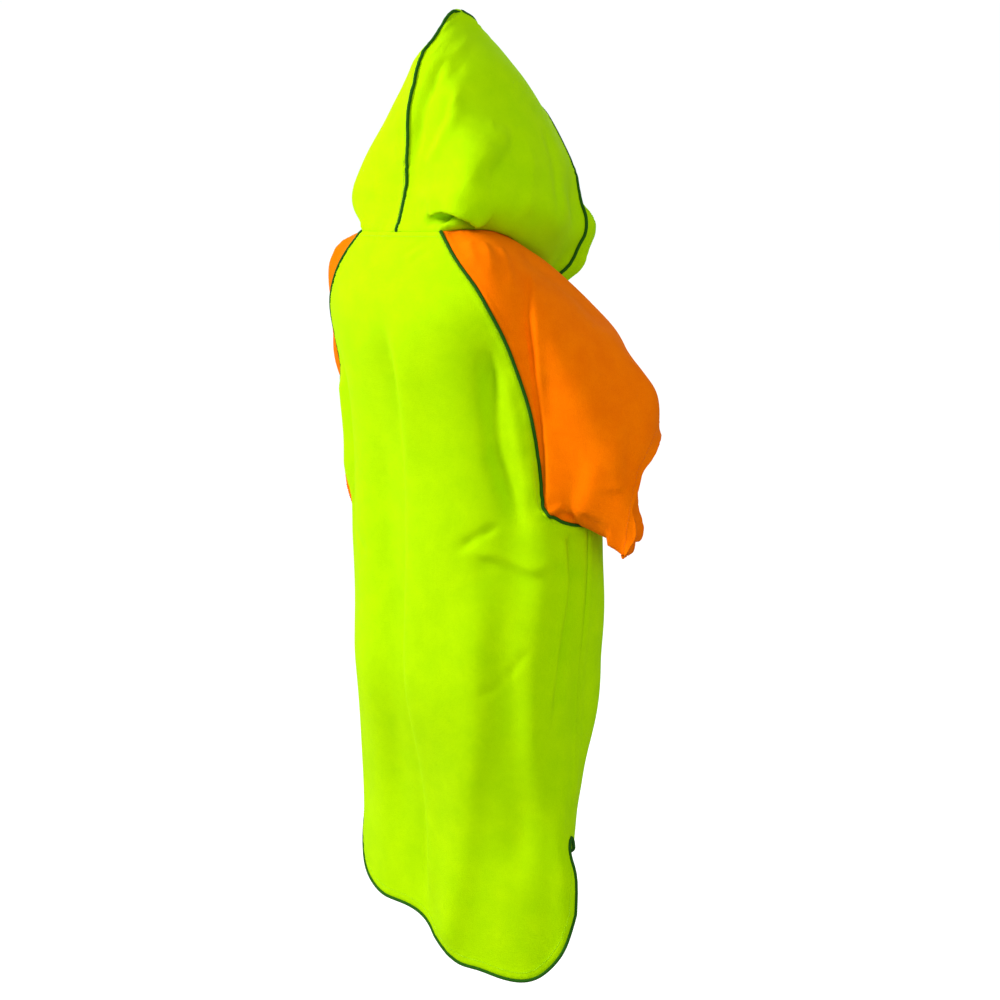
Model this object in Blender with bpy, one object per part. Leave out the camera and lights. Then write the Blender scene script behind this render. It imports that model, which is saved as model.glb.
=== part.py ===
# Hooded bath poncho, worn and hollow: lime body and hood, orange raglan sleeves, green piping.
# Metres, +Z up. The wearer faces -Y, and their right side is -X. The origin is in the middle of
# the neck opening, level with the back neck seam, where the wearer's shoulders carry the cloth.

import math
from collections import namedtuple

import bpy
import bmesh
from mathutils import Vector

# ---------------------------------------------------------------- driving dimensions

CLOTH = 0.0022             # thickness of the towelling
HALF_GAP = 0.00018         # every edge is trimmed by this, so a seam is about 0.3 mm open
PIPING_RADIUS = 0.0019
PIPING_GAP = 0.0005        # between a piping and the cloth that it lies on
HEM_PIPING_GAP = 0.0006    # between the hem piping and the edge that it runs along
PIPING_SIDES = 5
BAND_WIDTH = 0.019         # front band of the hood
BAND_CURL = 0.2            # how much the band's free half turns in towards the face

UNDERARM = -0.395          # heights, from the back neck seam
ARMHOLE_TURN = 0.035       # height over which the armhole seam rounds under the arm
SLIT_TOP = -0.835
BACK_SPREAD = 2.0          # degrees that the back tail's edges draw back below the slit
FRONT_SPREAD = 5.0         # the same for the front tail
HEM_LIFT = 0.080           # the raised left arm lifts that side of the hem by this
HEM_LEVEL = -1.050
FOLD_FADE = 0.3            # share of a fold's length over which each end dies out
SETTLE_HEIGHT = 0.220      # columns are evenly spread again this far below the underarm
EDGE_POWER = 7             # how closely the turn of the armhole seam keeps to the edge
EDGE_CROWDING = 0.10       # how much closer together a panel's columns are at its edges
YOKE_CROWDING = 1.25       # how much closer together a panel's rows are near the neck
DRAPE_START = 0.55         # share of the armhole below which the sleeve sags under the arm
CORNER = 2.4               # exponent of the body's rounded oval sections
CURVE_STEPS = 16           # points worked out between two given points of a curve
STEEPEST_SEAM = 0.8        # a piping is lifted no more than for a seam sunk this steeply
ROUGHNESS = 0.9

BODY_COLUMNS = 20          # cells across a body panel
YOKE_ROWS = 11             # cells down the straight part of an armhole
TURN_ROWS = 4              # cells round the bottom of an armhole
SKIRT_ROWS = 9             # cells from the underarm to the slit
TAIL_ROWS = 4              # cells from the slit to the hem
SLEEVE_CELLS = 20          # cells round a sleeve
CUFF_ROWS = 5              # cells from the underarm to the cuff
HOOD_ROWS = 12             # cells from the neck seam to the hood's top seam

LIME = (0.58, 0.93, 0.0)
ORANGE = (0.95, 0.22, 0.0)
DARK_GREEN = (0.02, 0.12, 0.01)

# ---------------------------------------------------------------- sections of the body

# A section is an oval. centre is where its middle lies along Y; back and front are its depths
# from there, and side is its half width.
Section = namedtuple("Section", "height side centre back front")
BODY_SECTIONS = (
    Section(0.000, 0.190, -0.070, 0.154, 0.035),
    Section(-0.030, 0.225, -0.070, 0.164, 0.042),
    Section(-0.075, 0.222, -0.070, 0.173, 0.055),
    Section(-0.110, 0.218, -0.070, 0.178, 0.070),
    Section(-0.150, 0.214, -0.070, 0.174, 0.082),
    Section(-0.220, 0.213, -0.070, 0.160, 0.094),
    Section(-0.320, 0.214, -0.070, 0.147, 0.100),
    Section(-0.430, 0.215, -0.070, 0.143, 0.104),
    Section(-0.540, 0.207, -0.070, 0.142, 0.122),
    Section(-0.660, 0.203, -0.069, 0.140, 0.116),
    Section(-0.780, 0.204, -0.063, 0.110, 0.070),
    Section(-0.880, 0.203, -0.056, 0.090, 0.052),
    Section(-1.080, 0.200, -0.052, 0.084, 0.050),
)

# Where the raglan seams run: distance out from the middle at each height.
SeamRow = namedtuple("SeamRow", "height out")
BACK_RAGLAN = (
    SeamRow(0.000, 0.079),
    SeamRow(-0.028, 0.106),
    SeamRow(-0.075, 0.146),
    SeamRow(-0.107, 0.162),
    SeamRow(-0.145, 0.174),
    SeamRow(-0.185, 0.181),
    SeamRow(-0.243, 0.190),
    SeamRow(-0.310, 0.194),
    SeamRow(-0.360, 0.196),
)
FRONT_RAGLAN = (
    SeamRow(-0.055, 0.070),
    SeamRow(-0.085, 0.105),
    SeamRow(-0.125, 0.140),
    SeamRow(-0.175, 0.163),
    SeamRow(-0.240, 0.175),
    SeamRow(-0.300, 0.180),
    SeamRow(-0.360, 0.184),
)
FRONT_NECK_DIP = 0.038     # the front neck edge sags by this in the middle

# Long soft folds of the body. angle goes round from the centre back (0) over the wearer's right
# side (90) to the centre front (180); the fold drifts from top_angle to low_angle, is width
# degrees wide, and stands out by depth, or in where depth is negative.
Fold = namedtuple("Fold", "top low top_angle low_angle width depth")
BODY_FOLDS = (
    Fold(-0.020, -1.500, -9, -2, 11, -0.010),
    Fold(-0.060, -1.500, 8, 11, 12, 0.006),
    Fold(-0.080, -0.600, 40, 52, 12, -0.013),
    Fold(-0.380, -0.800, 66, 58, 10, 0.008),
    Fold(-0.700, -1.300, 86, 88, 12, 0.014),
    Fold(-0.400, -0.760, 104, 108, 11, 0.008),
    Fold(-0.300, -0.980, 128, 132, 13, -0.012),
    Fold(-0.200, -1.300, 160, 156, 16, 0.009),
    Fold(-0.160, -1.300, 190, 188, 14, -0.011),
    Fold(-0.250, -1.300, 216, 214, 14, 0.009),
    Fold(-0.350, -1.200, 246, 244, 13, -0.011),
    Fold(-0.400, -0.950, 278, 280, 12, 0.008),
    Fold(-0.080, -0.660, 318, 310, 13, -0.011),
)

# Hem heights across each tail. The back runs from the wearer's right edge (-1) to the left edge
# (1), and the front from left to right, so that both go the same way round the body.
HemRow = namedtuple("HemRow", "across height")
BACK_HEM = (
    HemRow(-1.00, -0.940),
    HemRow(-0.93, -0.982),
    HemRow(-0.82, -1.016),
    HemRow(-0.60, -1.044),
    HemRow(-0.30, -1.052),
    HemRow(-0.10, -1.050),
    HemRow(0.00, -1.026),
    HemRow(0.10, -1.020),
    HemRow(0.35, -1.026),
    HemRow(0.60, -1.004),
    HemRow(0.80, -0.945),
    HemRow(1.00, -0.880),
)
FRONT_HEM = (
    HemRow(-1.00, -0.852),
    HemRow(-0.75, -0.872),
    HemRow(-0.45, -0.915),
    HemRow(0.00, -0.935),
    HemRow(0.45, -0.915),
    HemRow(0.75, -0.872),
    HemRow(1.00, -0.852),
)

# ---------------------------------------------------------------- sleeves

# Lines that run along a sleeve, from the neck (along 0) past the underarm (1) to the cuff (2).
# out is measured from the middle of the body; the left sleeve is the right one mirrored.
RailRow = namedtuple("RailRow", "along out y z")
SLEEVE_CREST = (
    RailRow(0.00, 0.108, -0.005, -0.002),
    RailRow(0.20, 0.148, -0.030, -0.028),
    RailRow(0.45, 0.188, -0.058, -0.074),
    RailRow(0.70, 0.222, -0.088, -0.126),
    RailRow(1.00, 0.254, -0.118, -0.176),
    RailRow(1.50, 0.276, -0.138, -0.216),
    RailRow(2.00, 0.285, -0.146, -0.274),
)
SLEEVE_BACK = (
    RailRow(0.00, 0.098, 0.045, 0.002),
    RailRow(0.10, 0.128, 0.060, -0.010),
    RailRow(0.20, 0.157, 0.062, -0.034),
    RailRow(0.45, 0.198, 0.022, -0.100),
    RailRow(0.70, 0.240, -0.010, -0.172),
    RailRow(1.00, 0.276, -0.040, -0.265),
    RailRow(1.50, 0.300, -0.068, -0.318),
    RailRow(2.00, 0.312, -0.080, -0.352),
)
SLEEVE_FRONT = (
    RailRow(0.00, 0.094, -0.055, -0.028),
    RailRow(0.20, 0.135, -0.085, -0.058),
    RailRow(0.45, 0.176, -0.118, -0.105),
    RailRow(0.70, 0.204, -0.150, -0.170),
    RailRow(1.00, 0.224, -0.156, -0.250),
    RailRow(1.50, 0.226, -0.170, -0.298),
    RailRow(2.00, 0.224, -0.172, -0.334),
)
SLEEVE_DRAPE = (
    RailRow(1.00, 0.234, -0.018, -0.378),
    RailRow(1.50, 0.262, -0.042, -0.392),
    RailRow(1.80, 0.284, -0.060, -0.404),
    RailRow(2.00, 0.300, -0.078, -0.440),
)
SLEEVE_UNDER = (
    RailRow(1.00, 0.215, -0.070, -0.395),
    RailRow(1.50, 0.238, -0.104, -0.408),
    RailRow(2.00, 0.262, -0.132, -0.432),
)

# ---------------------------------------------------------------- hood

# A row for each level of one hood side: the centre seam at the back, the rounding behind the
# ear, the side, the cheek and the edge of the opening, each as (out, y, z).
HoodRow = namedtuple("HoodRow", "level back round_back side cheek brim")
HOOD_SECTIONS = (
    HoodRow(0.14, (0.000, 0.072, 0.040), (0.124, 0.062, 0.038), (0.148, -0.030, 0.024),
            (0.142, -0.120, 0.000), (0.101, -0.170, -0.036)),
    HoodRow(0.32, (0.000, 0.064, 0.100), (0.106, 0.054, 0.100), (0.136, -0.035, 0.090),
            (0.130, -0.118, 0.072), (0.112, -0.180, 0.035)),
    HoodRow(0.54, (0.000, 0.054, 0.175), (0.062, 0.040, 0.176), (0.098, -0.042, 0.168),
            (0.094, -0.108, 0.150), (0.078, -0.168, 0.110)),
    HoodRow(0.78, (0.000, 0.030, 0.247), (0.026, 0.013, 0.248), (0.058, -0.045, 0.234),
            (0.054, -0.102, 0.214), (0.036, -0.166, 0.168)),
    HoodRow(1.00, (0.000, -0.032, 0.303), (0.000, -0.062, 0.289), (0.000, -0.098, 0.260),
            (0.000, -0.136, 0.218), (0.000, -0.168, 0.184)),
)
HOOD_LIFT = 0.0008         # the hood's foot stands this far above the neck edge
THROAT_GAP = 0.004         # half the distance between the two hood sides at the throat
THROAT_ROWS = 1            # the front band starts this many rows above the throat
HOOD_COVERS_ROWS = 1       # the hood's fullness covers this many rows of the front raglan seams


# ---------------------------------------------------------------- curves and tables

def smooth(rows, key, column, at):
    """Value of a column at a key, on a smooth curve through the table's rows."""
    ordered = sorted(rows, key=lambda row: getattr(row, key))
    keys = [getattr(row, key) for row in ordered]
    values = [getattr(row, column) for row in ordered]
    if at <= keys[0]:
        return values[0]
    if at >= keys[-1]:
        return values[-1]
    slopes = []
    for index in range(len(keys)):
        low = max(index - 1, 0)
        high = min(index + 1, len(keys) - 1)
        slopes.append((values[high] - values[low]) / (keys[high] - keys[low]))
    index = max(i for i, k in enumerate(keys[:-1]) if k <= at)
    span = keys[index + 1] - keys[index]
    t = (at - keys[index]) / span
    start = (2 * t**3 - 3 * t**2 + 1) * values[index] + (t**3 - 2 * t**2 + t) * span * slopes[index]
    end = (3 * t**2 - 2 * t**3) * values[index + 1] + (t**3 - t**2) * span * slopes[index + 1]
    return start + end


def through(points, cells, before=None, after=None):
    """cells + 1 evenly spaced points on a smooth curve through the given points."""
    first = before if before is not None else points[0] * 2 - points[1]
    last = after if after is not None else points[-1] * 2 - points[-2]
    path = [first] + list(points) + [last]
    fine = []
    for index in range(1, len(path) - 2):
        for step in range(CURVE_STEPS):
            fine.append(catmull(path[index - 1:index + 3], step / CURVE_STEPS))
    return evenly(fine + [points[-1]], cells)


def catmull(four, t):
    """Point between the middle two of four points, on a smooth curve through them."""
    a, b, c, d = four
    return 0.5 * (2 * b + (c - a) * t + (2 * a - 5 * b + 4 * c - d) * t**2
                  + (3 * b - a - 3 * c + d) * t**3)


def evenly(points, cells):
    """cells + 1 points at equal distances along a polyline."""
    lengths = [0.0]
    for first, second in zip(points, points[1:]):
        lengths.append(lengths[-1] + (second - first).length)
    spaced = []
    segment = 0
    for index in range(cells + 1):
        target = lengths[-1] * index / cells
        while segment < len(points) - 2 and lengths[segment + 1] < target:
            segment += 1
        span = max(lengths[segment + 1] - lengths[segment], 1e-9)
        share = min(max((target - lengths[segment]) / span, 0.0), 1.0)
        spaced.append(points[segment].lerp(points[segment + 1], share))
    return spaced


# ---------------------------------------------------------------- the body's surface

def body_point(angle, height):
    """Point of the body at an angle round it: 0 centre back, 90 wearer's right, 180 front."""
    side, centre, back, front = (smooth(BODY_SECTIONS, "height", column, height)
                                 for column in ("side", "centre", "back", "front"))
    sine = math.sin(math.radians(angle))
    cosine = math.cos(math.radians(angle))
    depth = back if cosine >= 0 else front
    power = 2 / CORNER
    x = -side * math.copysign(abs(sine) ** power, sine)
    y = centre + depth * math.copysign(abs(cosine) ** power, cosine)
    out = Vector((x / side**2, (y - centre) / depth**2, 0)).normalized()
    point = Vector((x, y, height)) + out * fold_offset(angle, height)
    left_share = (point.x / side + 1) / 2
    lowness = max((UNDERARM - height) / (UNDERARM - HEM_LEVEL), 0.0)
    point.z += HEM_LIFT * left_share * lowness
    return point


def fold_offset(angle, height):
    """How far the folds push the cloth out, or pull it in, at this place."""
    offset = 0.0
    for fold in BODY_FOLDS:
        if not fold.low < height < fold.top:
            continue
        down = (fold.top - height) / (fold.top - fold.low)
        fade = min(1.0, down / FOLD_FADE) * min(1.0, (1 - down) / FOLD_FADE)
        middle = fold.top_angle + (fold.low_angle - fold.top_angle) * down
        away = ((angle - middle + 180) % 360 - 180) / fold.width
        offset += fold.depth * math.exp(-away * away) * (3 - 2 * fade) * fade * fade
    return offset


def seam_angle(raglan, front, height):
    """Angle of a raglan seam at a height, turning under the arm at its foot."""
    turn_top = UNDERARM + ARMHOLE_TURN
    level = max(height, turn_top)
    side = smooth(BODY_SECTIONS, "height", "side", level)
    out = smooth(raglan, "height", "out", level)
    angle = math.degrees(math.asin(min(out / side, 1.0) ** (CORNER / 2)))
    if height < turn_top:
        drop = min((turn_top - height) / ARMHOLE_TURN, 1.0)
        angle += (90 - angle) * (1 - math.sqrt(1 - drop * drop))
    return 180 - angle if front else angle


def armhole_heights(raglan):
    """Heights of the rows from the neck to the underarm, close together where the seam turns."""
    top = raglan[0].height
    turn_top = UNDERARM + ARMHOLE_TURN
    heights = []
    for row in range(YOKE_ROWS):
        share = row / YOKE_ROWS
        heights.append(top + (turn_top - top) * share ** YOKE_CROWDING)
    for row in range(TURN_ROWS + 1):
        heights.append(turn_top - ARMHOLE_TURN * math.sin(math.pi / 2 * row / TURN_ROWS))
    return heights


def panel_rows(front):
    """Rows of points of a panel: the back from right to left, the front from left to right."""
    raglan = FRONT_RAGLAN if front else BACK_RAGLAN
    hem = FRONT_HEM if front else BACK_HEM
    dip = FRONT_NECK_DIP if front else 0.0
    rows = []
    heights = armhole_heights(raglan)
    for height in heights:
        edge = seam_angle(raglan, front, height)
        sag = dip * (height - UNDERARM) / (heights[0] - UNDERARM)
        rows.append([panel_point(front, edge, across, height - sag * (1 - across * across))
                     for across in across_steps()])
    for row in range(1, SKIRT_ROWS + 1):
        height = UNDERARM + (SLIT_TOP - UNDERARM) * row / SKIRT_ROWS
        rows.append([panel_point(front, 90, across, height) for across in across_steps()])
    for row in range(1, TAIL_ROWS + 1):
        share = row / TAIL_ROWS
        spread = (FRONT_SPREAD if front else BACK_SPREAD) * math.sqrt(share)
        edge = 90 + spread if front else 90 - spread
        rows.append([panel_point(front, edge, across, SLIT_TOP
                                 + (smooth(hem, "across", "height", across) - SLIT_TOP) * share)
                     for across in across_steps()])
    return rows


def across_steps():
    """Places across a panel from -1 to 1, closer together at its edges."""
    steps = []
    for index in range(BODY_COLUMNS + 1):
        even = 2 * index / BODY_COLUMNS - 1
        steps.append(even + EDGE_CROWDING * math.sin(math.pi * even))
    return steps


def panel_point(front, edge, across, height):
    """Point of a panel whose edge on the wearer's right lies at the angle called edge.

    Where the seam turns under the arm only the outer columns follow it.
    """
    reach = 180 - edge if front else edge
    settled = min(max((UNDERARM - height) / SETTLE_HEIGHT, 0.0), 1.0)
    inner = reach if height > UNDERARM + ARMHOLE_TURN else \
        seam_reach(front) + (90 - seam_reach(front)) * settled
    turn = inner * across + (reach - inner) * across ** EDGE_POWER
    return body_point(180 - turn if front else -turn, height)


def seam_reach(front):
    """Half the angle that a panel spans just above the turn of its armhole seams."""
    raglan = FRONT_RAGLAN if front else BACK_RAGLAN
    angle = seam_angle(raglan, front, UNDERARM + ARMHOLE_TURN)
    return 180 - angle if front else angle


# ---------------------------------------------------------------- sleeves and hood

def rail(rows, along):
    """Point of a sleeve line of the wearer's right sleeve."""
    out, y, z = (smooth(rows, "along", column, along) for column in ("out", "y", "z"))
    return Vector((-out, y, z))


def sleeve_rows(back_edge, front_edge):
    """Rings of the right sleeve, each from the front seam over the arm to the back seam."""
    rings = []
    last = len(back_edge) - 1
    for row in range(last + 1):
        along = row / last
        points = [back_edge[row], rail(SLEEVE_BACK, along), rail(SLEEVE_CREST, along),
                  rail(SLEEVE_FRONT, along), front_edge[row]]
        low = max((along - DRAPE_START) / (1 - DRAPE_START), 0.0)
        if low > 0:
            hang = back_edge[row].lerp(points[1], 0.5)
            points.insert(1, hang.lerp(rail(SLEEVE_DRAPE, 1.0), low * low))
        rings.append(through(points[::-1], SLEEVE_CELLS))
    for row in range(1, CUFF_ROWS + 1):
        along = 1 + row / CUFF_ROWS
        under = rail(SLEEVE_UNDER, along)
        points = [under, rail(SLEEVE_FRONT, along), rail(SLEEVE_CREST, along),
                  rail(SLEEVE_BACK, along), rail(SLEEVE_DRAPE, along), under]
        rings.append(through(points, SLEEVE_CELLS, before=points[-2], after=points[1]))
    return rings


def hood_foot(grids, places):
    """The foot of a hood side: places of the neck edge, moved up in line with the cloth there."""
    line = [grids[name][0][column] for name, column in places]
    foot = []
    for index, (name, column) in enumerate(places):
        along = line[min(index + 1, len(line) - 1)] - line[max(index - 1, 0)]
        up = square_to(line[index] - grids[name][1][column], along)
        foot.append(line[index] + up * HOOD_LIFT)
    foot[-1].x = -THROAT_GAP
    return foot


def hood_rows(foot):
    """Rows of the right hood side, each from the centre back seam to the opening."""
    cells = len(foot) - 1
    sections = []
    for row in HOOD_SECTIONS:
        points = [Vector((-place[0], place[1], place[2])) for place in row[1:]]
        before = mirror(points[1]) if row.level < 1 else None
        sections.append(through(points, cells, before=before))
    rows = [foot]
    columns = []
    for column in range(cells + 1):
        rise = [foot[column]] + [line[column] for line in sections]
        columns.append(through(rise, HOOD_ROWS, after=mirror(rise[-2])))
    for index in range(1, HOOD_ROWS + 1):
        rows.append([column[index] for column in columns])
    return rows


def band_rows(brim, behind):
    """Rows of the front band from its free edge to the hood, right throat to left throat."""
    middle, edge = [], []
    for point, inner in zip(brim, behind):
        forward = (point - inner).normalized()
        inward = Vector((-point.x, 0, 0)).normalized() if abs(point.x) > 0.001 else Vector()
        middle.append(point + forward * BAND_WIDTH / 2)
        edge.append(middle[-1] + (forward + inward * BAND_CURL).normalized() * BAND_WIDTH / 2)
    rows = [edge, middle, list(brim)]
    return [row + [mirror(point) for point in reversed(row[:-1])] for row in rows]


def mirror(point):
    return Vector((-point.x, point.y, point.z))


# ---------------------------------------------------------------- solids

def grid_normals(rows):
    """Normals of a grid of points, pointing out of the garment."""
    normals = []
    for r, row in enumerate(rows):
        line = []
        for c in range(len(row)):
            down = rows[min(r + 1, len(rows) - 1)][c] - rows[max(r - 1, 0)][c]
            over = row[min(c + 1, len(row) - 1)] - row[max(c - 1, 0)]
            line.append(over.cross(down).normalized())
        normals.append(line)
    return normals


def trimmed(rows):
    """The grid with every edge drawn in by HALF_GAP, square to that edge."""
    moved = [list(row) for row in rows]
    height, width = len(rows), len(rows[0])
    for r in range(height):
        for c in range(width):
            shift = Vector()
            if r in (0, height - 1):
                along = rows[r][min(c + 1, width - 1)] - rows[r][max(c - 1, 0)]
                inward = rows[1 if r == 0 else r - 1][c] - rows[r][c]
                shift += square_to(inward, along)
            if c in (0, width - 1):
                along = rows[min(r + 1, height - 1)][c] - rows[max(r - 1, 0)][c]
                inward = rows[r][1 if c == 0 else c - 1] - rows[r][c]
                shift += square_to(inward, along)
            moved[r][c] = rows[r][c] + shift * HALF_GAP
    return moved


def square_to(direction, along):
    """The direction's part that is square to a line, one unit long."""
    if along.length < 1e-9:
        return direction.normalized()
    along = along.normalized()
    return (direction - along * direction.dot(along)).normalized()


def wall(name, rows, normals, colour):
    """A closed solid: the grid thickened by half the cloth each way."""
    points = trimmed(rows)
    height, width = len(rows), len(rows[0])
    mesh = bmesh.new()
    sheets = []
    for side in (0.5, -0.5):
        sheets.append([[mesh.verts.new(points[r][c] + normals[r][c] * CLOTH * side)
                        for c in range(width)] for r in range(height)])
    outer, inner = sheets
    for r in range(height - 1):
        for c in range(width - 1):
            mesh.faces.new((outer[r][c], outer[r][c + 1], outer[r + 1][c + 1], outer[r + 1][c]))
            mesh.faces.new((inner[r][c], inner[r + 1][c], inner[r + 1][c + 1], inner[r][c + 1]))
    border = [(0, c) for c in range(width)]
    border += [(r, width - 1) for r in range(1, height)]
    border += [(height - 1, c) for c in range(width - 2, -1, -1)]
    border += [(r, 0) for r in range(height - 2, 0, -1)]
    for first, second in zip(border, border[1:] + border[:1]):
        mesh.faces.new((outer[first[0]][first[1]], inner[first[0]][first[1]],
                        inner[second[0]][second[1]], outer[second[0]][second[1]]))
    return finish(name, mesh, colour)


def seam_lifts(line, normals, *neighbours):
    """How far a piping's middle stands off each point of a seam, more where the seam is sunk."""
    lifts = []
    for index, (point, normal) in enumerate(zip(line, normals)):
        along = line[min(index + 1, len(line) - 1)] - line[max(index - 1, 0)]
        rise = max(square_to(beside[index] - point, along).dot(normal) for beside in neighbours)
        rise = min(max(rise, 0.0), STEEPEST_SEAM)
        lifts.append((CLOTH / 2 + PIPING_RADIUS + PIPING_GAP) / math.sqrt(1 - rise * rise))
    return lifts


def bead(name, line, normals, colour, lifts):
    """Piping: a slim closed tube that lies on a line of the cloth, moved out of it."""
    mesh = bmesh.new()
    rings = []
    for index, point in enumerate(line):
        along = (line[min(index + 1, len(line) - 1)] - line[max(index - 1, 0)]).normalized()
        out = square_to(normals[index], along)
        across = along.cross(out)
        centre = point + out * lifts[index]
        ring = []
        for side in range(PIPING_SIDES):
            turn = 2 * math.pi * side / PIPING_SIDES
            spoke = out * math.cos(turn) + across * math.sin(turn)
            ring.append(mesh.verts.new(centre + spoke * PIPING_RADIUS))
        rings.append(ring)
    for first, second in zip(rings, rings[1:]):
        for side in range(PIPING_SIDES):
            after = (side + 1) % PIPING_SIDES
            mesh.faces.new((first[side], first[after], second[after], second[side]))
    mesh.faces.new(list(reversed(rings[0])))
    mesh.faces.new(rings[-1])
    return finish(name, mesh, colour)


def finish(name, mesh, colour):
    """Turn a bmesh into a smooth shaded object with its own material."""
    data = bpy.data.meshes.new(name)
    mesh.to_mesh(data)
    mesh.free()
    data.shade_smooth()
    data.set_sharp_from_angle(angle=math.radians(40))
    item = bpy.data.objects.new(name, data)
    bpy.context.scene.collection.objects.link(item)
    material = bpy.data.materials.new(name)
    material.use_nodes = True
    shader = material.node_tree.nodes["Principled BSDF"]
    shader.inputs["Base Color"].default_value = (*colour, 1)
    shader.inputs["Roughness"].default_value = ROUGHNESS
    data.materials.append(material)
    return item


def share_normals(*places):
    """Give the places of the grids that meet at one seam point the same normal."""
    total = Vector()
    for normals, r, c in places:
        total += normals[r][c]
    total.normalize()
    for normals, r, c in places:
        normals[r][c] = total.copy()


def mirrored_grid(rows):
    """The same grid on the other side of the body, its columns reversed to keep it facing out."""
    return [[mirror(point) for point in reversed(row)] for row in rows]


def column_of(rows, column):
    return [row[column] for row in rows]


def outline(rows, start):
    """Points along the free edge of a tail, and the way out of the cloth at each of them."""
    last_row, last = len(rows) - 1, len(rows[0]) - 1
    places = [(r, 0) for r in range(start, last_row)]
    places += [(last_row, c) for c in range(last + 1)]
    places += [(r, last) for r in range(last_row - 1, start - 1, -1)]
    line = [rows[r][c] for r, c in places]
    ways = []
    for index, (r, c) in enumerate(places):
        along = line[min(index + 1, len(line) - 1)] - line[max(index - 1, 0)]
        inner_row = r - 1 if r == last_row else r
        inner_column = min(max(c, 1), last - 1)
        ways.append(square_to(rows[r][c] - rows[inner_row][inner_column], along))
    return line, ways


# ---------------------------------------------------------------- the garment

def main():
    for item in list(bpy.data.objects):
        bpy.data.objects.remove(item)

    armhole = YOKE_ROWS + TURN_ROWS
    slit = armhole + SKIRT_ROWS
    last = BODY_COLUMNS
    middle = last // 2

    back = panel_rows(front=False)
    front = panel_rows(front=True)
    right = sleeve_rows([row[0] for row in back[:armhole + 1]],
                        [row[last] for row in front[:armhole + 1]])
    left = mirrored_grid(sleeve_rows([mirror(row[last]) for row in back[:armhole + 1]],
                                     [mirror(row[0]) for row in front[:armhole + 1]]))
    grids = {"back": back, "front": front, "right": right, "left": left}
    neck = [("back", c) for c in range(middle, -1, -2)]
    neck += [("right", c) for c in range(SLEEVE_CELLS - 2, 0, -2)]
    neck += [("front", c) for c in range(last, middle - 1, -2)]
    hood = hood_rows(hood_foot(grids, neck))
    hood_mirrored = mirrored_grid(hood)
    band = band_rows(column_of(hood, -1)[THROAT_ROWS:], column_of(hood, -2)[THROAT_ROWS:])

    grids.update({"hood": hood, "hood_mirrored": hood_mirrored, "band": band})
    normals = {name: grid_normals(rows) for name, rows in grids.items()}
    for r in range(armhole):
        share_normals((normals["back"], r, 0), (normals["right"], r, SLEEVE_CELLS))
        share_normals((normals["back"], r, last), (normals["left"], r, 0))
        share_normals((normals["front"], r, last), (normals["right"], r, 0))
        share_normals((normals["front"], r, 0), (normals["left"], r, SLEEVE_CELLS))
    for r in range(armhole + 1, slit + 1):
        share_normals((normals["back"], r, 0), (normals["front"], r, last))
        share_normals((normals["back"], r, last), (normals["front"], r, 0))
    for side, back_column, front_column in (("right", 0, last), ("left", last, 0)):
        share_normals((normals["back"], armhole, back_column),
                      (normals["front"], armhole, front_column),
                      (normals[side], armhole, 0), (normals[side], armhole, SLEEVE_CELLS))
        for r in range(armhole + 1, armhole + CUFF_ROWS + 1):
            share_normals((normals[side], r, 0), (normals[side], r, SLEEVE_CELLS))
    for r in range(HOOD_ROWS + 1):
        share_normals((normals["hood"], r, 0), (normals["hood_mirrored"], r, -1))
    for r in range(THROAT_ROWS, HOOD_ROWS + 1):
        share_normals((normals["hood"], r, -1), (normals["band"], -1, r - THROAT_ROWS))
        share_normals((normals["hood_mirrored"], r, 0), (normals["band"], -1, THROAT_ROWS - 1 - r))
    for c, (name, column) in enumerate(neck):
        share_normals((normals["hood"], HOOD_ROWS, c), (normals["hood_mirrored"], HOOD_ROWS, -1 - c))
        normals["hood"][0][c] = normals[name][0][column].copy()
        normals["hood_mirrored"][0][-1 - c] = mirror(normals[name][0][column])
    peak = (normals["hood"][HOOD_ROWS - 1][0] + normals["hood"][HOOD_ROWS][1]).normalized()
    normals["hood"][HOOD_ROWS][0] = peak
    normals["hood_mirrored"][HOOD_ROWS][-1] = peak

    wall("back_panel", back, normals["back"], LIME)
    wall("front_panel", front, normals["front"], LIME)
    wall("sleeve_right", right, normals["right"], ORANGE)
    wall("sleeve_left", left, normals["left"], ORANGE)
    wall("hood_right", hood, normals["hood"], LIME)
    wall("hood_left", hood_mirrored, normals["hood_mirrored"], LIME)
    wall("hood_band", band, normals["band"], LIME)

    for name, panel, column, side, ring, start in (
            ("back_right", "back", 0, "right", -1, 0),
            ("back_left", "back", last, "left", 0, 0),
            ("front_right", "front", last, "right", 0, HOOD_COVERS_ROWS),
            ("front_left", "front", 0, "left", -1, HOOD_COVERS_ROWS)):
        line = column_of(grids[panel], column)[start:armhole]
        seam_normals = column_of(normals[panel], column)[start:]
        lifts = seam_lifts(line, seam_normals,
                           column_of(grids[panel], 1 if column == 0 else -2)[start:],
                           column_of(grids[side], 1 if ring == 0 else -2)[start:])
        bead("piping_raglan_" + name, line, seam_normals, DARK_GREEN, lifts)
    seam = column_of(hood, 0) + hood[-1][1:-1]
    seam_normals = column_of(normals["hood"], 0) + normals["hood"][-1][1:-1]
    beside = column_of(hood, 1) + hood[-2][1:-1]
    bead("piping_hood_seam", seam, seam_normals, DARK_GREEN,
         seam_lifts(seam, seam_normals, beside))
    bead("piping_hood_brim", band[-1], normals["band"][-1], DARK_GREEN,
         seam_lifts(band[-1], normals["band"][-1], band[-2]))
    for name, rows in (("back", back), ("front", front)):
        line, ways = outline(rows, slit + 1)
        bead("piping_hem_" + name, line, ways, DARK_GREEN,
             [PIPING_RADIUS + HEM_PIPING_GAP] * len(line))


main()
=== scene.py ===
# Hooded bath poncho: the finished cloth, piping and sewing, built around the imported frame.
import heapq
import math

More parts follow.
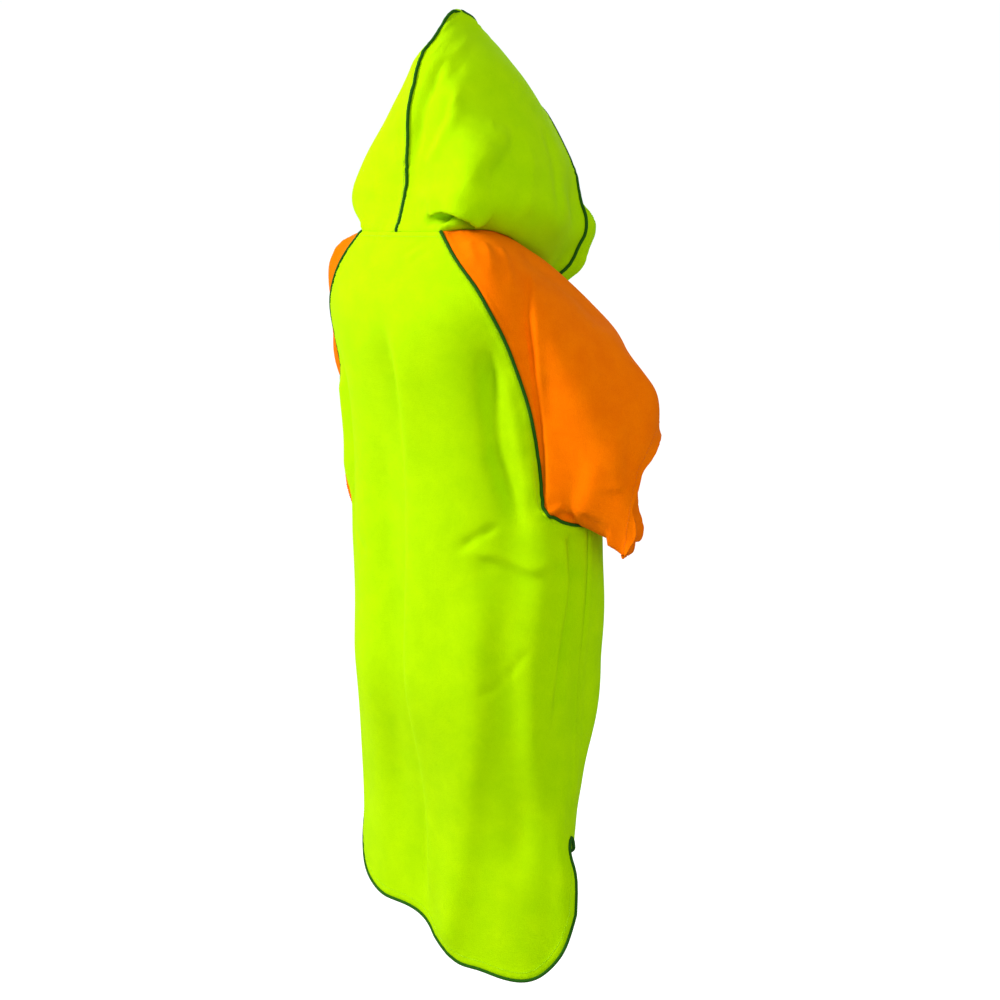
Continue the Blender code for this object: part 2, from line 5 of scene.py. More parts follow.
import bmesh
import bpy
import numpy as np
from mathutils import Matrix, Vector
from mathutils.bvhtree import BVHTree
from mathutils.kdtree import KDTree


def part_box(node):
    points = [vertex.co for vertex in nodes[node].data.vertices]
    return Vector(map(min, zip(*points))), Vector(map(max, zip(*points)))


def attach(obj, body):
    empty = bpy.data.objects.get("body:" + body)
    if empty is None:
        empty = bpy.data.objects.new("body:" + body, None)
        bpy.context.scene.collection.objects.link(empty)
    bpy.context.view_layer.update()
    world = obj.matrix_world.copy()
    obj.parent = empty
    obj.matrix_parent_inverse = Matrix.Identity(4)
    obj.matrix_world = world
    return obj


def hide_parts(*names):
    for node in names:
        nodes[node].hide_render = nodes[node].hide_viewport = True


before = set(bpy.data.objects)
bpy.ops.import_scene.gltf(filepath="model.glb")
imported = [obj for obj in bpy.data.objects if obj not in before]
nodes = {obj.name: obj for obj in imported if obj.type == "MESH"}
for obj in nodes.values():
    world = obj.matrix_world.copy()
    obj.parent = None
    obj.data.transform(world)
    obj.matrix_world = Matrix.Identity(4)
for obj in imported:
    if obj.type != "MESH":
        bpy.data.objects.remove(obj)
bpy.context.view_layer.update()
print("frame loaded:", len(nodes), "nodes")


# cloth form: one face of each solid, joined at the seams and rounded off

cloth = {
    "thickness": 0.0022,      # m, also the width of a solid's rim
    "rimSlack": 0.00004,      # m by which a rim edge may be longer or shorter than that
    "rimLean": 0.4,           # how far it leans on one of its faces at most (a cosine)
    "sameCorner": 0.00002,    # m
    "middleY": -0.07,         # m, the wearer's middle from front to back
    "weld": 0.0012,           # seam gaps narrower than this close up
    "starts": 40,             # pairs of triangles that the walk over a wall may start from
    "clear": 0.5,             # radians by which the straightest way on beats the next one
    "rounds": 3,              # rounds of subdivision
    "fits": 5,                # times that the cage is pushed out to where its surface should be
    "eases": 12,              # rounds of smoothing after that
    "seamRows": 2,            # extra rows of faces along each seam
    "underarm": (-0.60, -0.24),     # m, the heights between which the rows slide apart
    "slides": 25,
    "neckAbove": -0.12,       # m, the open edges above this are the neck's
    "footReach": 0.004,       # m from the neck within which an open edge is the hood's foot
    "collar": 0.030,          # the hood's foot is drawn onto the neck edge over this height
    "bodyPieces": ["back_panel", "front_panel", "sleeve_right", "sleeve_left"],
    "hoodPieces": ["hood_right", "hood_left", "hood_band"],
}


def isRimEdge(edge):
    # the short edges that join the two faces of a wall, square to both
    way = edge.verts[0].co - edge.verts[1].co
    if abs(way.length - cloth["thickness"]) > cloth["rimSlack"]:
        return False
    leans = [abs(face.normal.dot(way.normalized())) for face in edge.link_faces]
    return min(leans) < cloth["rimLean"]


def regionsOf(faces):
    # groups of faces that hang together
    left = set(faces)
    groups = []
    while left:
        seed = left.pop()
        group = [seed]
        for face in group:
            for edge in face.edges:
                for other in edge.link_faces:
                    if other in left:
                        left.discard(other)
                        group.append(other)
        groups.append(group)
    return sorted(groups, key=len, reverse=True)


def outerFace(name):
    # the outer face of a node's wall, as a copy: the CAD mesh itself is left alone
    bm = bmesh.new()
    bm.from_mesh(nodes[name].data)
    bmesh.ops.remove_doubles(bm, verts=bm.verts, dist=cloth["sameCorner"])
    bm.normal_update()
    rim = {f for f in bm.faces if any(isRimEdge(e) for e in f.edges)}
    low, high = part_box(name)
    middle = (low + high) / 2
    if "sleeve" not in name:
        middle.x = 0
        middle.y = cloth["middleY"]

    def facesOut(group):
        total = 0
        for f in group:
            way = f.calc_center_median() - middle
            if "sleeve" not in name:
                way.z = 0
            total += f.calc_area() * f.normal.dot(way)
        return total

    # of the wall's two faces, the one that looks away from the wearer
    kept = set(max(regionsOf(set(bm.faces) - rim)[:2], key=facesOut))
    bmesh.ops.delete(bm, geom=[f for f in bm.faces if f not in kept], context="FACES")
    dissolveDiagonals(bm)
    return bm


def thirdCorner(face, edge):
    return next(v for v in face.verts if v not in edge.verts)


def otherFace(edge, face):
    return next((f for f in edge.link_faces if f is not face), None)


def cornersOf(first, second, diagonal):
    # corners of the quad that two triangles make, in order round it
    a, b = diagonal.verts
    return [a, thirdCorner(first, diagonal), b, thirdCorner(second, diagonal)]


def turnBetween(a, b, c):
    return (b.co - a.co).angle(c.co - b.co, 0.0)


def squareness(corners):
    worst = 0
    for i in range(4):
        before, here, after = corners[i - 1], corners[i], corners[(i + 1) % 4]
        worst += abs(turnBetween(before, here, after) - math.pi / 2)
    return worst


def diagonalsFrom(start, faces):
    # walks out from one pair of triangles, going straight on across each side of a finished quad
    free = set(faces)
    diagonals = []
    waiting = []

    def take(diagonal):
        first, second = diagonal.link_faces
        free.discard(first)
        free.discard(second)
        diagonals.append(diagonal)
        corners = cornersOf(first, second, diagonal)
        for i in range(4):
            line = corners[i - 1], corners[i], corners[(i + 1) % 4], corners[(i + 2) % 4]
            heapq.heappush(waiting, (0, len(diagonals) * 4 + i, line))

    take(start)
    while waiting:
        doubt, order, line = heapq.heappop(waiting)
        found = waysOn(line, free)
        if not found:
            continue
        margin = found[1][0] - found[0][0] if len(found) > 1 else math.pi
        if margin < cloth["clear"] and doubt == 0:
            # doubtful ones wait until more of their neighbours are known, the clearest first
            heapq.heappush(waiting, (1 / (margin + 0.01), order, line))
        else:
            take(found[0][1])
    return diagonals


def waysOn(line, free):
    # the diagonals that could follow a side, the straightest first
    beforeP, p, q, beforeQ = line
    side = next(e for e in p.link_edges if e.other_vert(p) is q)
    found = []
    for face in side.link_faces:
        if face not in free:
            continue
        x = thirdCorner(face, side)
        for diagonal in face.edges:
            other = otherFace(diagonal, face)
            if diagonal is side or other not in free:
                continue
            y = thirdCorner(other, diagonal)
            nextP, nextQ = (y, x) if p in diagonal.verts else (x, y)
            bend = turnBetween(beforeP, p, nextP) + turnBetween(beforeQ, q, nextQ)
            found.append((bend, diagonal))
    return sorted(found, key=lambda item: item[0])


def dissolveDiagonals(bm):
    # turns the triangles back into the rows and columns of the wall
    pairs = [e for e in bm.edges if len(e.link_faces) == 2]
    pairs.sort(key=lambda e: squareness(cornersOf(*e.link_faces, e)))
    best = []
    for start in pairs[:cloth["starts"]]:
        diagonals = diagonalsFrom(start, bm.faces)
        if len(diagonals) > len(best):
            best = diagonals
        if len(best) * 2 == len(bm.faces):
            break
    bmesh.ops.dissolve_edges(bm, edges=best, use_verts=False)


def joined(names):
    # the outer faces of several nodes as one sheet, with a material index for each node
    whole = bmesh.new()
    for index, name in enumerate(names):
        part = outerFace(name)
        for face in part.faces:
            face.material_index = index
        data = bpy.data.meshes.new(name + "_form")
        part.to_mesh(data)
        part.free()
        whole.from_mesh(data)
        bpy.data.meshes.remove(data)
        print("  form of", name)
    seams = [v for v in whole.verts if v.is_boundary]
    bmesh.ops.remove_doubles(whole, verts=seams, dist=cloth["weld"])
    return whole


def valuesOf(items, key, kind=np.float32, size=1):
    flat = np.empty(len(items) * size, kind)
    items.foreach_get(key, flat)
    return flat


def pointsOf(mesh):
    return valuesOf(mesh.vertices, "co", size=3).reshape(-1, 3).astype(float)


def normalsOf(mesh):
    return valuesOf(mesh.vertex_normals, "vector", size=3).reshape(-1, 3).astype(float)


def setPoints(mesh, points):
    mesh.vertices.foreach_set("co", points.astype(np.float32).ravel())
    mesh.update()


def treeOf(points):
    tree = KDTree(len(points))
    for order, point in enumerate(points):
        tree.insert(point, order)
    tree.balance()
    return tree


def placed(name, data):
    item = bpy.data.objects.new(name, data)
    bpy.context.scene.collection.objects.link(item)
    return item


def made(name, bm):
    # a new piece in the scene, from a mesh that is worked on no further
    data = bpy.data.meshes.new(name)
    bm.to_mesh(data)
    bm.free()
    return placed(name, data)


def asSeen(item):
    graph = bpy.context.evaluated_depsgraph_get()
    graph.update()
    return bpy.data.meshes.new_from_object(item.evaluated_get(graph))


def roundedOff(bm, name):
    # rounds of subdivision whose surface still goes through every corner of the form
    item = made(name, bm)
    data = item.data
    modifier = item.modifiers.new("round", "SUBSURF")
    modifier.boundary_smooth = "PRESERVE_CORNERS"
    modifier.levels = modifier.render_levels = 1
    wanted = pointsOf(data)
    cage = wanted.copy()
    for _ in range(cloth["fits"]):
        rounded = asSeen(item)
        cage += wanted - pointsOf(rounded)[:len(wanted)]     # the cage's own corners come first
        bpy.data.meshes.remove(rounded)
        setPoints(data, cage)
    modifier.levels = modifier.render_levels = cloth["rounds"]
    fine = asSeen(item)
    bpy.data.objects.remove(item)
    bpy.data.meshes.remove(data)
    ease(fine)
    print("  rounded off", name, len(fine.polygons), "faces")
    return fine


def relax(bm, verts):
    bmesh.ops.smooth_vert(bm, verts=verts, factor=0.5,
                          use_axis_x=True, use_axis_y=True, use_axis_z=True)


def ease(mesh):
    # lets the cloth relax a little between the rows, and adds close rows beside each seam
    bm = bmesh.new()
    bm.from_mesh(mesh)
    loose = [v for v in bm.verts if not v.is_boundary]
    for _ in range(cloth["eases"]):
        relax(bm, loose)
    onSeam = set()
    for edge in bm.edges:
        if isSeam(edge):
            onSeam.update(edge.verts)
    across = [e for e in bm.edges if sum(v in onSeam for v in e.verts) == 1]
    bmesh.ops.subdivide_edges(bm, edges=across, cuts=cloth["seamRows"], use_grid_fill=True)
    bm.to_mesh(mesh)
    bm.free()


def isSeam(edge):
    return edge.is_boundary or len({f.material_index for f in edge.link_faces}) > 1


def evenRows(bm, low, high):
    # the rows crowd together under the arms; away from the seams they slide apart on the surface
    tree = BVHTree.FromBMesh(bm)
    free = [v for v in bm.verts if low < v.co.z < high and not any(isSeam(e) for e in v.link_edges)]
    for _ in range(cloth["slides"]):
        relax(bm, free)
        for vertex in free:
            vertex.co = tree.find_nearest(vertex.co)[0]


bodyForm = joined(cloth["bodyPieces"])
hoodForm = joined(cloth["hoodPieces"])
evenRows(bodyForm, *cloth["underarm"])
bodyMesh = roundedOff(bodyForm, "body_form")
hoodMesh = roundedOff(hoodForm, "hood_form")
print("forms rounded off")


def seamEdgesOf(mesh):
    # the edges on seams and open edges: their pieces, lowest height and ends
    bm = bmesh.new()
    bm.from_mesh(mesh)
    found = []
    for edge in bm.edges:
        if isSeam(edge):
            sides = tuple(sorted(f.material_index for f in edge.link_faces))
            a, b = edge.verts
            found.append((sides, min(a.co.z, b.co.z), a.index, b.index))
    bm.free()
    return found


seamEdges = {mesh.name: seamEdgesOf(mesh) for mesh in (bodyMesh, hoodMesh)}


def lines(mesh, wanted):
    # chains of vertices along the seam edges that are wanted
    links = {}
    for sides, low, a, b in seamEdges[mesh.name]:
        if wanted(sides, low):
            links.setdefault(a, []).append(b)
            links.setdefault(b, []).append(a)
    chains = []
    used = set()
    for start in sorted(links, key=lambda v: len(links[v]) == 2):     # loose ends first, then loops
        for ahead in links[start]:
            chain = [start]
            while (chain[-1], ahead) not in used:
                used.update({(chain[-1], ahead), (ahead, chain[-1])})
                chain.append(ahead)
                if len(links[ahead]) != 2 or ahead == start:
                    break
                ahead = next(v for v in links[ahead] if v != chain[-2])
            if len(chain) > 1:
                chains.append(chain)
    return sorted(chains, key=len, reverse=True)


def settleHoodFoot():
    # the hood is cut to the neck edge, so its foot takes the neck's line and its cloth follows
    neck = lines(bodyMesh, lambda sides, low: len(sides) == 1 and low > cloth["neckAbove"])
    tree = treeOf(pointsOf(bodyMesh)[[v for chain in neck for v in chain]])
    points = pointsOf(hoodMesh)
    openChains = lines(hoodMesh, lambda sides, low: len(sides) == 1)
    foot = [v for v in sorted({v for chain in openChains for v in chain})
            if tree.find(points[v])[2] < cloth["footReach"]]
    footTree = treeOf(points[foot])
    moves = [Vector(tree.find(points[v])[0]) - Vector(points[v]) for v in foot]
    moved = points.copy()
    for vertex, point in enumerate(points):
        _, order, away = footTree.find(point)
        if away < cloth["collar"]:
            share = (1 - away / cloth["collar"]) ** 2
            moved[vertex] += np.array(moves[order]) * share
    setPoints(hoodMesh, moved)
    print("  hood foot settled:", len(foot), "points")


settleHoodFoot()


# creases, folds and the pull of the seams

def fold(width, depth, ends, through, edge=0, push=(0, 0, 0)):
    # A crease through points (mm). Looked at from outside, along one that runs down, width is
    # (left, right) in mm and depth is how far it stands out (+) or lies in (-). One with an edge
    # is a lap: right of the line the cloth stands out by the depth, left of it it lies in, and the
    # step between is that many mm wide. ends are the shares of the length over which it fades in
    # and out, and push is a further move (mm). Its place in the table sets how its depth sways.
    return {"width": width, "depth": depth, "ends": ends, "through": through, "edge": edge,
            "push": push}


def tug(width, move, through, ends=(0, 0)):
    # moves all the cloth near a line by so much (mm), where it hangs or is drawn another way
    return {"width": width, "move": move, "through": through, "ends": ends}


bodyCreases = {
    "backLong": fold((34, 44), 8, (0.12, 0.1), [(-6, 108, -101), (-8, 93, -207), (-3, 75, -343),
        (5, 69, -552), (3, 55, -710), (4, 28, -907), (3, 28, -978)], edge=8),
    "backTrough": fold((26, 24), -5, (0.3, 0.2), [(28, 105, -134), (42, 84, -232), (48, 68, -346),
        (46, 63, -461), (46, 65, -575), (53, 52, -695), (61, 30, -819), (49, 26, -937)]),
    "backValley": fold((13, 11), -9, (0.2, 0.2), [(-153, 61, -138), (-147, 52, -196), (-145, 45, -241),
        (-147, 39, -298), (-156, 28, -343), (-167, 20, -383), (-183, 12, -418)]),
    "besideRaglan": fold((11, 14), 4.5, (0.2, 0.2), [(-170, 40, -175), (-170, 30, -236),
        (-175, 22, -290), (-181, 15, -338), (-188, 9, -376)]),
    "swagFlick": fold((7, 8), -3.5, (0.3, 0.3), [(-90, 68, -436), (-118, 58, -416), (-140, 43, -400),
        (-152, 34, -388)]),
    "swagArc": fold((26, 15), 3.2, (0.2, 0.2), [(-112, 58, -436), (-139, 44, -440), (-157, 27, -447),
        (-189, 10, -459), (-206, -10, -451), (-211, -25, -435)], edge=6),
    "lowFlickLeft": fold((6, 5), -2, (0.4, 0.4), [(-118, 57, -640), (-141, 45, -621),
        (-163, 33, -599)]),
    "lowFlickRight": fold((5, 7), -2.2, (0.4, 0.4), [(-158, 36, -612), (-177, 24, -580),
        (-191, 11, -562)]),
    "tailRidge": fold((38, 24), 8, (0.25, 0), [(-139, 42, -455), (-127, 51, -497), (-124, 54, -553),
        (-121, 55, -623), (-114, 50, -695), (-98, 41, -771), (-85, 34, -847), (-65, 34, -924),
        (-50, 36, -986)]),
    "tailValley": fold((30, 26), -7, (0.3, 0.2), [(-154, 30, -496), (-163, 33, -606), (-166, 22, -719),
        (-160, 9, -836), (-150, 10, -923)]),
    "sideLine": fold((10, 18), -7, (0.05, 0.4), [(-211, -30, -407), (-212, -33, -442),
        (-210, -36, -489), (-203, -27, -565), (-199, -19, -646), (-197, -15, -692)], edge=3),
    "neckFlickUpper": fold((4, 4), -1.6, (0.4, 0.4), [(-12, 96, -36), (-35, 92, -24), (-63, 85, -11)]),
    "neckFlickLower": fold((5, 5), -1.6, (0.4, 0.4), [(-28, 98, -46), (-55, 93, -32), (-78, 86, -19)]),
    # right sleeve
    "armholeCleft": fold((5, 5), -8, (0.4, 0.15), [(-188, 18, -238), (-192, 10, -285), (-194, 5, -332),
        (-196, 3, -356), (-202, -4, -375)]),
    "sleeveLap": fold((14, 34), 4.5, (0.2, 0.35), [(-181, 6, -50), (-193, 24, -89), (-198, 27, -135),
        (-199, 24, -165), (-197, 16, -215)], edge=3),
    "sleeveCleft": fold((4, 5), -6, (0.25, 0.1), [(-185, 12, -62), (-193, 24, -92), (-199, 27, -135),
        (-199, 22, -180), (-198, 15, -222), (-198, 9, -265), (-199, 4, -320), (-200, 1, -370)]),
    "fanFirst": fold((6, 5), 2, (0.2, 0.5), [(-122, 66, -10), (-140, 74, -30), (-148, 74, -52)]),
    "fanSecond": fold((6, 6), 2.5, (0.2, 0.5), [(-136, 52, -10), (-155, 60, -31), (-166, 63, -56)]),
    "fanThird": fold((8, 7), 2.8, (0.2, 0.5), [(-143, 33, -14), (-165, 39, -39), (-180, 43, -69),
        (-188, 44, -90)]),
    "cuffTuck": fold((6, 5), 4.5, (0.15, 0.3), [(-202, 1, -383), (-210, -11, -371), (-223, -17, -364)]),
    "cuffTuckUnder": fold((7, 6), -5, (0.2, 0.3), [(-204, -5, -386), (-212, -20, -379),
        (-224, -36, -384)]),
    "sleeveFront": fold((30, 26), -4.5, (0.6, 0.1), [(-284, -74, -232), (-287, -66, -262),
        (-290, -58, -300), (-297, -58, -345)], edge=10),
}

frontCreases = {
    "frontLong": fold((38, 44), 6, (0.3, 0), [(30, -180, -200), (22, -185, -400), (36, -180, -600),
        (26, -180, -800)], edge=8),
    "chestValleyRight": fold((13, 16), -7, (0.3, 0.35), [(-116, -150, -215), (-108, -165, -330),
        (-120, -160, -430), (-140, -150, -530)]),
    "chestValleyLeft": fold((15, 12), -6, (0.3, 0.4), [(110, -150, -235), (100, -165, -330),
        (108, -165, -410), (130, -155, -490)]),
    "thighRidge": fold((36, 44), 7, (0.35, 0), [(-72, -180, -420), (-68, -180, -560), (-84, -180, -700),
        (-92, -180, -810)]),
    "thighTrough": fold((24, 26), -5, (0.4, 0), [(-16, -185, -470), (-26, -185, -620),
        (-20, -185, -800)]),
    "thighTroughLeft": fold((26, 20), -6, (0.35, 0.1), [(104, -170, -540), (94, -170, -670),
        (108, -165, -770)]),
    "dragRight": fold((6, 7), -3.4, (0.15, 0.45), [(-180, -100, -325), (-150, -140, -345),
        (-112, -165, -380), (-84, -180, -420)]),
    "dragLeft": fold((7, 6), -3, (0.15, 0.45), [(180, -100, -340), (146, -140, -366),
        (110, -165, -402)]),
    "underThroat": fold((9, 7), 2.6, (0.35, 0.35), [(-66, -160, -130), (-32, -180, -168),
        (8, -186, -180), (50, -172, -152)]),
    "underThroatUpper": fold((6, 7), -2.2, (0.35, 0.35), [(-42, -170, -114), (-6, -182, -136),
        (34, -170, -120)]),
}

hoodCreases = {
    "overhang": fold((4, 20), 9, (0.25, 0.22), [(-46, 77, 25), (-60, 76, 29), (-76, 75, 33),
        (-97, 72, 35), (-110, 67, 32), (-116, 57, 25), (-117, 44, 19),
        (-117, 30, 15)], push=(0, 0, -11)),
    "underOverhang": fold((7, 5), -18, (0.2, 0.12), [(-48, 78, 16), (-70, 76, 19), (-97, 71, 19),
        (-110, 62, 15), (-113, 46, 9), (-112, 32, 6)]),
    "besideSeam": fold((10, 8), -4, (0.25, 0.25), [(-28, 20, 240), (-28, 40, 205), (-24, 53, 171),
        (-18, 61, 130), (-13, 65, 100), (-8, 69, 70)]),
    "centreRidge": fold((34, 24), 10, (0.3, 0.3), [(0, 18, 262), (0, 36, 238), (0, 48, 205),
        (0, 56, 165), (0, 62, 125), (0, 66, 90), (0, 70, 57)]),
    "narrowStreak": fold((8, 12), 4.5, (0.25, 0.25), [(-62, 24, 204), (-68, 40, 178), (-67, 52, 148),
        (-52, 64, 112), (-30, 69, 82)]),
    "besideStreak": fold((9, 14), -3, (0.3, 0.3), [(-37, 68, 89), (-50, 63, 124), (-62, 56, 146),
        (-68, 42, 165), (-69, 20, 187)]),
    "longSlant": fold((14, 30), 7, (0.2, 0.3), [(-108, 67, 58), (-117, 59, 73), (-121, 46, 89),
        (-121, 25, 106), (-117, 2, 124), (-107, -17, 148)]),
    "litPatch": fold((10, 12), 4, (0.3, 0.2), [(-15, 75, 40), (-46, 74, 48), (-81, 73, 52),
        (-111, 67, 54), (-128, 55, 58)]),
    "firstValley": fold((9, 16), -4.5, (0.3, 0.25), [(-109, -32, 149), (-127, -9, 109), (-135, 30, 75),
        (-139, 36, 49), (-139, 18, 27)]),
    "betweenValleys": fold((12, 13), 3.5, (0.35, 0.2), [(-120, -48, 130), (-137, -37, 90),
        (-149, -21, 49), (-141, -19, 16)]),
    "secondValley": fold((11, 12), -4, (0.35, 0.2), [(-98, -95, 155), (-114, -94, 126), (-136, -89, 79),
        (-150, -81, 47), (-146, -84, 10)]),
    "crownCrease": fold((9, 9), 1.6, (0.2, 0.3), [(-12, 46, 222), (-31, 22, 235), (-33, -6, 251),
        (-18, -38, 275)]),
    "crownValley": fold((10, 10), -2, (0.3, 0.3), [(-12, 56, 178), (-33, 48, 190), (-45, 38, 200),
        (-49, 20, 217), (-46, 0, 232)]),
}

bodyPulls = {
    "cuffNotch": tug(24, (9, 9, 2), [(-311, -92, -325), (-312, -84, -345), (-313, -78, -362)]),
    "cuffNotchFront": tug(22, (5, 5, 0), [(-224, -172, -334), (-224, -167, -355), (-231, -161, -376)]),
    "cuffUpperFront": tug(30, (4, 4, 0), [(-303, -115, -300), (-290, -140, -276), (-268, -160, -281)]),
    "cuffTip": tug(20, (9, 9, 15), [(-303, -76, -437), (-287, -94, -448), (-267, -124, -440)]),
    "cuffLowerBack": tug(22, (4, 4, 0), [(-313, -73, -377), (-310, -71, -406), (-303, -74, -435)]),
    "lobe": tug(10, (0, 0, -16), [(-262, -55, -402), (-272, -62, -408), (-284, -70, -418),
        (-298, -74, -430)], ends=(0.05, 0)),
    "underLift": tug(13, (0, 0, 7), [(-246, -34, -388), (-253, -43, -394)]),
    "rightSideIn": tug(50, (6, 6, 0), [(-207, -95, -605), (-204, -92, -704), (-208, -75, -784),
        (-215, -60, -837)]),
    "slitRightIn": tug(30, (5, 5, 0), [(-213, -62, -805), (-215, -59, -845)]),
    "frontSlitIn": tug(11, (7, 7, 0), [(-194, -70, -860), (-192, -77, -866), (-187, -78, -874)]),
    "leftSleeveForward": tug(60, (-3, -34, 0), [(262, -20, -270), (262, -35, -350), (275, -60, -420)]),
    "backLeftOut": tug(22, (5, 9, 0), [(178, 40, -230), (180, 30, -300), (182, 25, -360),
        (188, 12, -400)], ends=(0, 0.4)),
    "raglanLeftIn": tug(10, (-4, -8, 0), [(190, 16, -250), (194, 8, -310),
        (198, 0, -370)], ends=(0.2, 0.2)),
    "shoulderDown": tug(28, (4, 4, -6), [(-140, 3, -16), (-157, -19, -32), (-172, -42, -51),
        (-189, -73, -78), (-208, -93, -108), (-223, -119, -141)], ends=(0.2, 0.3)),
}

hoodPulls = {
    "brimIn": tug(44, (13, 13, -3), [(-126, -150, 36), (-131, -142, 8), (-128, -140, -12),
        (-112, -145, -34), (-92, -150, -50)]),
    "edgeOut": tug(14, (-5, -5, -2), [(-107, -194, 34), (-109, -194, 14), (-108, -192, -6),
        (-104, -188, -25), (-92, -181, -43), (-76, -174, -58)]),
    "brimLowIn": tug(20, (3, 3, 0), [(-112, -175, -20), (-96, -168, -42)]),
    "bandIn": tug(13, (8, 8, 0), [(-71, -182, 104), (-81, -184, 87), (-91, -188, 70), (-99, -191, 52),
        (-106, -194, 34), (-109, -194, 14)], ends=(0.3, 0.3)),
    "footDrop": tug(24, (-2, -2, -9), [(-125, 0, 6), (-119, -34, -6), (-112, -81, -21),
        (-99, -122, -40)]),
    "backIn": tug(60, (-4.5, -4.5, 0), [(0, 31, 248), (0, 43, 223), (0, 54, 182), (0, 61, 141),
        (0, 65, 99)]),
    "leftIn": tug(44, (-4, -4, 0), [(52, 30, 180), (88, 50, 98), (105, 60, 55)]),
    "peakBack": tug(18, (3, 3, 1), [(0, -24, 297), (0, -12, 288)]),
    "peakFront": tug(16, (-2, -2, 1), [(0, -45, 296), (0, -52, 293)]),
    "edgeDown": tug(20, (-4, -4, -11), [(-92, -181, -43), (-80, -176, -54), (-70, -171, -60)]),
}


def mirrored(item, share, lower):
    # the same on the wearer's other side, weaker and lower down
    other = dict(item)
    other["through"] = [(-x, y, z - lower) for x, y, z in item["through"]]
    if "move" in item:
        other["move"] = (-item["move"][0] * share, item["move"][1] * share,
                         item["move"][2] * share)
        return other
    other["width"] = item["width"][::-1]
    other["depth"] = item["depth"] * (-share if item["edge"] else share)
    return other


# what the other side has of the same: share of the depth, and how much lower (mm)
otherSide = {
    "backValley": (0.7, 22), "besideRaglan": (0.6, 15), "swagFlick": (0.7, 26),
    "tailValley": (0.5, -20), "sideLine": (0.7, 30), "sleeveLap": (0.75, 14),
    "sleeveCleft": (0.7, 8), "armholeCleft": (0.6, 10), "fanFirst": (0.9, -2), "fanSecond": (0.6, 5),
    "fanThird": (0.8, 3), "cuffTuck": (0.5, 0), "sleeveFront": (0.7, 12),
    "firstValley": (0.6, 8), "betweenValleys": (0.8, -12), "secondValley": (1.1, 6),
    "crownCrease": (0.5, 9), "besideSeam": (0.4, 5), "litPatch": (0.4, -6),
    "brimIn": (0.6, 0), "edgeOut": (0.6, 0), "edgeDown": (0.6, 0),
}
for table in (bodyCreases, hoodCreases, hoodPulls):
    for name in [name for name in table if name in otherSide]:
        table[name + "Other"] = mirrored(table[name], *otherSide[name])
bodyCreases.update(frontCreases)

hang = {
    "step": 0.004,            # m between the points of a crease's line
    "curveSteps": 24,         # points worked out between two given ones
    "reach": 2.6,             # widths over which a crease is worked out
    "pullReach": 3,           # the same for a pull
    "depthReach": 0.05,       # m above or below the line that still belong to the same cloth
    "sway": 0.22,             # how unevenly a crease's depth runs along it
    "swayTurns": 2.3,         # times along its length
    "swayShift": 0.37,        # turns from one crease to the next
    "neckHold": 0.012,        # the neck seam holds the cloth this far down and up
    "edgeStep": 0.001,        # m between the points of an edge
    "batch": 4000,            # points worked out at a time, to save memory
}


def smoothLine(points, step):
    # evenly spaced points on a curve through the given ones
    points = [Vector(p) for p in points]
    points = [points[0] * 2 - points[1]] + points + [points[-1] * 2 - points[-2]]
    fine = []
    for before, a, b, after in zip(points, points[1:], points[2:], points[3:]):
        for share in np.linspace(0, 1, hang["curveSteps"], endpoint=False):
            t, u = share, 1 - share
            fine.append(a * (u * u * (1 + 2 * t)) + b * (t * t * (1 + 2 * u))
                        + (b - before) * (t * u * u / 2) - (after - a) * (t * t * u / 2))
    fine.append(points[-2])
    return evenly(np.array([tuple(p) for p in fine]), step)


def evenly(line, step):
    lengths = np.r_[0, np.cumsum(np.linalg.norm(np.diff(line, axis=0), axis=1))]
    count = max(2, int(round(lengths[-1] / step)) + 1)
    places = np.linspace(0, lengths[-1], count)
    return np.stack([np.interp(places, lengths, line[:, axis]) for axis in range(3)], axis=1)


def surfaceOf(mesh):
    bm = bmesh.new()
    bm.from_mesh(mesh)
    tree = BVHTree.FromBMesh(bm)
    bm.free()
    return tree


def fade(share, start, end):
    # 0 at the ends of a line, 1 along its middle
    rise = np.clip(share / start, 0, 1) if start else np.ones_like(share)
    fall = np.clip((1 - share) / end, 0, 1) if end else np.ones_like(share)
    both = rise * fall
    return both * both * (3 - 2 * both)


